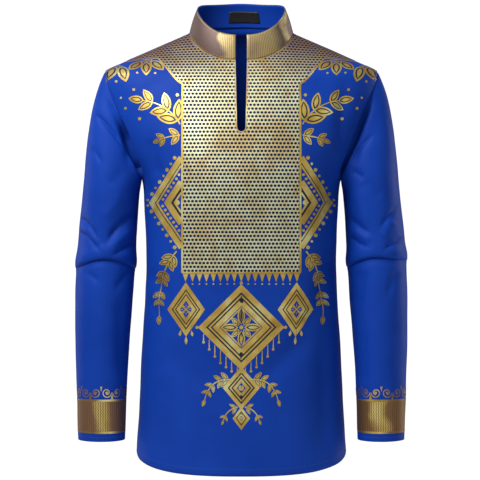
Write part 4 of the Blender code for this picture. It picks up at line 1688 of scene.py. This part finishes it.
def gold_foil():
    """Gold foil pressed on cloth: bright where it is whole, browner where it has sunk between the threads."""
    material, shader = new_finish("gold_foil", GOLD_PLAIN, metallic=BIB_METAL)
    place = place_in_shirt(material)
    patches = add(material, times(material, cloud(material, place, *FOIL_PATCHES), FOIL_PATCH_SHARE),
                  times(material, cloud(material, place, *FOIL_SPECKS), 1 - FOIL_PATCH_SHARE))
    # painted shade: darker towards the top of the shoulders
    colour = blend(material, shoulder_painted_shade(material, place), shades(material, patches, FOILED), GOLD_PAINTED_SHADE)
    grain = show_grain(material, shader, place, FOIL_ROUGHNESS, FOIL_BUMP)
    sunk = spread(material, grain, *FOIL_SUNK, 0.0, SUNK_SHARE)
    show(material, shader, Base_Color=blend(material, sunk, colour, GOLD_SUNK))
    return material


def navy_print():
    """The dark print under the bib's foil, which shows as its dots."""
    material, shader = new_finish("navy_print", NAVY, INK_ROUGHNESS)
    shader.inputs["Specular IOR Level"].default_value = LOW_SPECULAR
    patches = cloud(material, place_in_shirt(material), *INK_PATCHES)
    show(material, shader, Base_Color=shades(material, patches, INKED))
    return material


def bright_foil(name, glint=None):
    """The foil of the figures and the lines, thicker and yellower than the bib's ground, and their dark ink.

    Where a glint is given, as how far from the shirt's middle a painted highlight lies, the foil is painted
    bronze as shade away from it, and otherwise towards the shoulders.
    """
    material, shader = new_finish(name, GOLD_YELLOW)
    place = place_in_shirt(material)
    if glint is None:
        # painted shade towards the shoulders
        painted_shade = times(material, shoulder_painted_shade(material, place), FIGURE_SHADE_SHARE)
    else:
        # painted shade away from the cuff line's painted highlight
        from_middle = distance(material, axes(material, place)["X"], 0.0)
        painted_shade = spread(material, distance(material, from_middle, glint), *CUFF_LINE_GLINT)
    colour = shades(material, cloud(material, place, *FIGURE_PATCHES), FIGURED)
    colour = blend(material, painted_shade, colour, BRONZE_PAINTED_SHADE)
    across = axes(material, node(material, "ShaderNodeTexCoord").outputs["UV"])["X"]
    foil = spread(material, across, *INK_TO_FOIL)
    show(material, shader, Base_Color=blend(material, foil, NAVY, colour),
         Metallic=times(material, foil, FOIL_METAL))
    show_grain(material, shader, place, FIGURE_ROUGHNESS, FIGURE_BUMP)
    return material


def patterned_foil(name, turns, glints, painted_shade, bright):
    """Foil stamped all over with fine zigzag lines, as on the collar and the cuffs.

    Turns are lines for each unit of the map, and glints are where across it a highlight is painted on the
    foil, as (middle, reach) pairs. The colour after them is the painted shade that it has elsewhere, and
    bright is the painted highlight's colours.
    """
    material, shader = new_finish(name, GOLD_PLAIN, metallic=FOIL_METAL)
    x, y, _ = axes(material, node(material, "ShaderNodeTexCoord").outputs["UV"])
    zig = times(material, math_node(material, "PINGPONG", times(material, y, turns[1]), 0.5), ZIGZAG)
    lines = math_node(material, "PINGPONG", add(material, times(material, x, turns[0]), zig), 0.5)
    patches = cloud(material, place_in_shirt(material), *STAMPED_PATCHES)
    wander = times(material, math_node(material, "SUBTRACT", patches, 0.5), GLINT_WANDER)
    across = add(material, x, wander)
    glint = 0.0
    for middle, reach in glints:
        share = spread(material, distance(material, across, middle), reach, reach * GLINT_WHOLE)
        glint = add(material, glint, share)
    # painted highlights where the glints lie, over painted shade elsewhere
    metal = blend(material, glint, painted_shade, shades(material, patches, bright))
    raised = spread(material, lines, *ZIGZAG_LINE, GROOVE, 1.0)
    show(material, shader, Base_Color=blend(material, raised, GOLD_SUNK, metal),
         Normal=bump(material, lines, *STAMPED_BUMP))
    return material


def thread(name, colour):
    """Twisted sewing thread."""
    material, shader = new_finish(name, colour, THREAD_ROUGHNESS)
    twist = cloud(material, place_in_shirt(material), *TWIST)
    darker = tuple(c * THREAD_SHADE for c in colour)
    show(material, shader, Base_Color=shades(material, twist, tuple(zip(TWISTED, (darker, colour)))),
         Normal=bump(material, twist, *THREAD_BUMP))
    return material


def black_satin():
    material, shader = new_finish("black_satin_ribbon", BLACK)
    ribs = weave(material, LABEL_THREADS)
    show(material, shader, Roughness=spread(material, ribs, 0.0, 1.0, *SATIN_ROUGHNESS),
         Normal=bump(material, ribs, *SATIN_BUMP))
    return material


# ---------------------------------------------------------------- studio
def studio_white():
    material, shader = new_finish("studio_white", PAPER_WHITE, PAPER_ROUGHNESS)
    paper = cloud(material, place_in_shirt(material), *PAPER)
    show(material, shader, Base_Color=shades(material, paper, PAPERED))
    return material


def place_in_studio(name, data, location=(0, 0, 0)):
    thing = bpy.data.objects.new(name, data)
    thing.location = location
    bpy.context.scene.collection.objects.link(thing)
    return thing


def make_floor():
    """A pale round floor under the shirt."""
    bm = bmesh.new()
    bmesh.ops.create_circle(bm, cap_ends=True, segments=FLOOR_SIDES, radius=FLOOR_RADIUS)
    bmesh.ops.translate(bm, verts=bm.verts[:], vec=(0, 0, FLOOR_HEIGHT))
    mesh = bpy.data.meshes.new("floor")
    bm.to_mesh(mesh)
    bm.free()
    mesh.materials.append(studio_white())
    place_in_studio("floor", mesh)


def softbox(name, place, target, size, beam, power):
    light = bpy.data.lights.new(name, "AREA")
    light.shape = "RECTANGLE"
    light.size, light.size_y = size
    light.spread = math.radians(beam)
    light.energy = power
    lamp = place_in_studio(name, light, place)
    lamp.rotation_euler = (Vector(target) - lamp.location).to_track_quat("-Z", "Y").to_euler()


def make_room():
    """The studio's light from all round: more from the key's side, and plain white where it is looked at."""
    world = bpy.data.worlds.new("studio")
    world.use_nodes = True
    background = world.node_tree.nodes["Background"]
    background.inputs["Color"].default_value = (1, 1, 1, 1)
    way = node(world, "ShaderNodeTexCoord").outputs["Generated"]
    product = node(world, "ShaderNodeVectorMath", [("operation", "DOT_PRODUCT")], _0=way, _1=KEY_WAY)
    soft = spread(world, product.outputs["Value"], *KEY_RANGE, SHADE_STRENGTH, LIT_STRENGTH)
    looked_at = node(world, "ShaderNodeLightPath").outputs["Is Camera Ray"]
    settings = [("data_type", "FLOAT")]
    strength = node(world, "ShaderNodeMix", settings, _0=looked_at, _2=soft, _3=WHITE_STRENGTH)
    show(world, background, Strength=strength.outputs[0])
    bpy.context.scene.world = world


def make_studio():
    make_floor()
    make_room()
    for row in SOFTBOXES:
        softbox(*row)
    bpy.context.scene.view_settings.view_transform = "Standard"


def make_camera():
    camera = bpy.data.cameras.new("camera")
    camera.sensor_width = SENSOR
    camera.lens = SENSOR * CAMERA_DISTANCE / (PICTURE_WIDTH * MM)
    eye = place_in_studio("camera", camera, (PICTURE_X * MM, -CAMERA_DISTANCE, CAMERA_HEIGHT * MM))
    eye.rotation_euler = (math.radians(90), 0, 0)
    bpy.context.scene.camera = eye


# ---------------------------------------------------------------- the whole shirt
def make_front_prints():
    bright = bright_foil("bright_gold_foil")
    return [
        *make_bib(gold_foil(), navy_print()),
        make_borders(bright),
        make_figures("pendant_print", bright, draw_pendant_side, draw_pendant_middle),
        make_figures("side_print", bright, draw_beside_bib),
        make_figures("shoulder_print", bright, draw_at_shoulders),
    ]


def make_shirt():
    blue = blue_cloth("royal_blue_cloth", BODY_THREADS)
    sleeve_blue = blue_cloth("royal_blue_sleeve_cloth", SLEEVE_THREADS)
    collar_blue = blue_cloth("royal_blue_collar_cloth", COLLAR_THREADS)
    # the collar's foil has painted highlights and painted shade
    collar_foil = patterned_foil("collar_foil", COLLAR_ZIGZAGS, COLLAR_GLINTS, COLLAR_PAINTED_SHADE, COLLAR_PAINTED_HIGHLIGHT)
    cuff_lines = bright_foil("cuff_line_foil", CUFF_MIDDLE)
    seams = make_seams(thread("blue_thread", BLUE_THREAD), thread("gold_thread", GOLD_THREAD))

    front = make_panel("front_panel", "front", blue)
    back = make_panel("back_panel", "back", blue)
    prints = make_front_prints()
    for side in ("left", "right"):
        sleeve = make_sleeve(side, sleeve_blue)
        # each cuff's foil has painted highlights and painted shade
        glints, painted_shade = CUFF_GLINTS[side], CUFF_PAINTED_SHADE[side]
        foil = patterned_foil(f"{side}_cuff_foil", CUFF_ZIGZAGS, glints, painted_shade, CUFF_PAINTED_HIGHLIGHT)
        cuff = make_cuff(side, foil, cuff_lines)

    outer = make_collar("collar_outside", "collar_outer", collar_foil, 0)
    inner = make_collar("collar_inside", "collar_inner", collar_blue, COLLAR_LAYERS)
    label = [make_label(black_satin()), make_label_stitches(thread("black_thread", BLACK_THREAD))]


make_shirt()
make_camera()
make_studio()
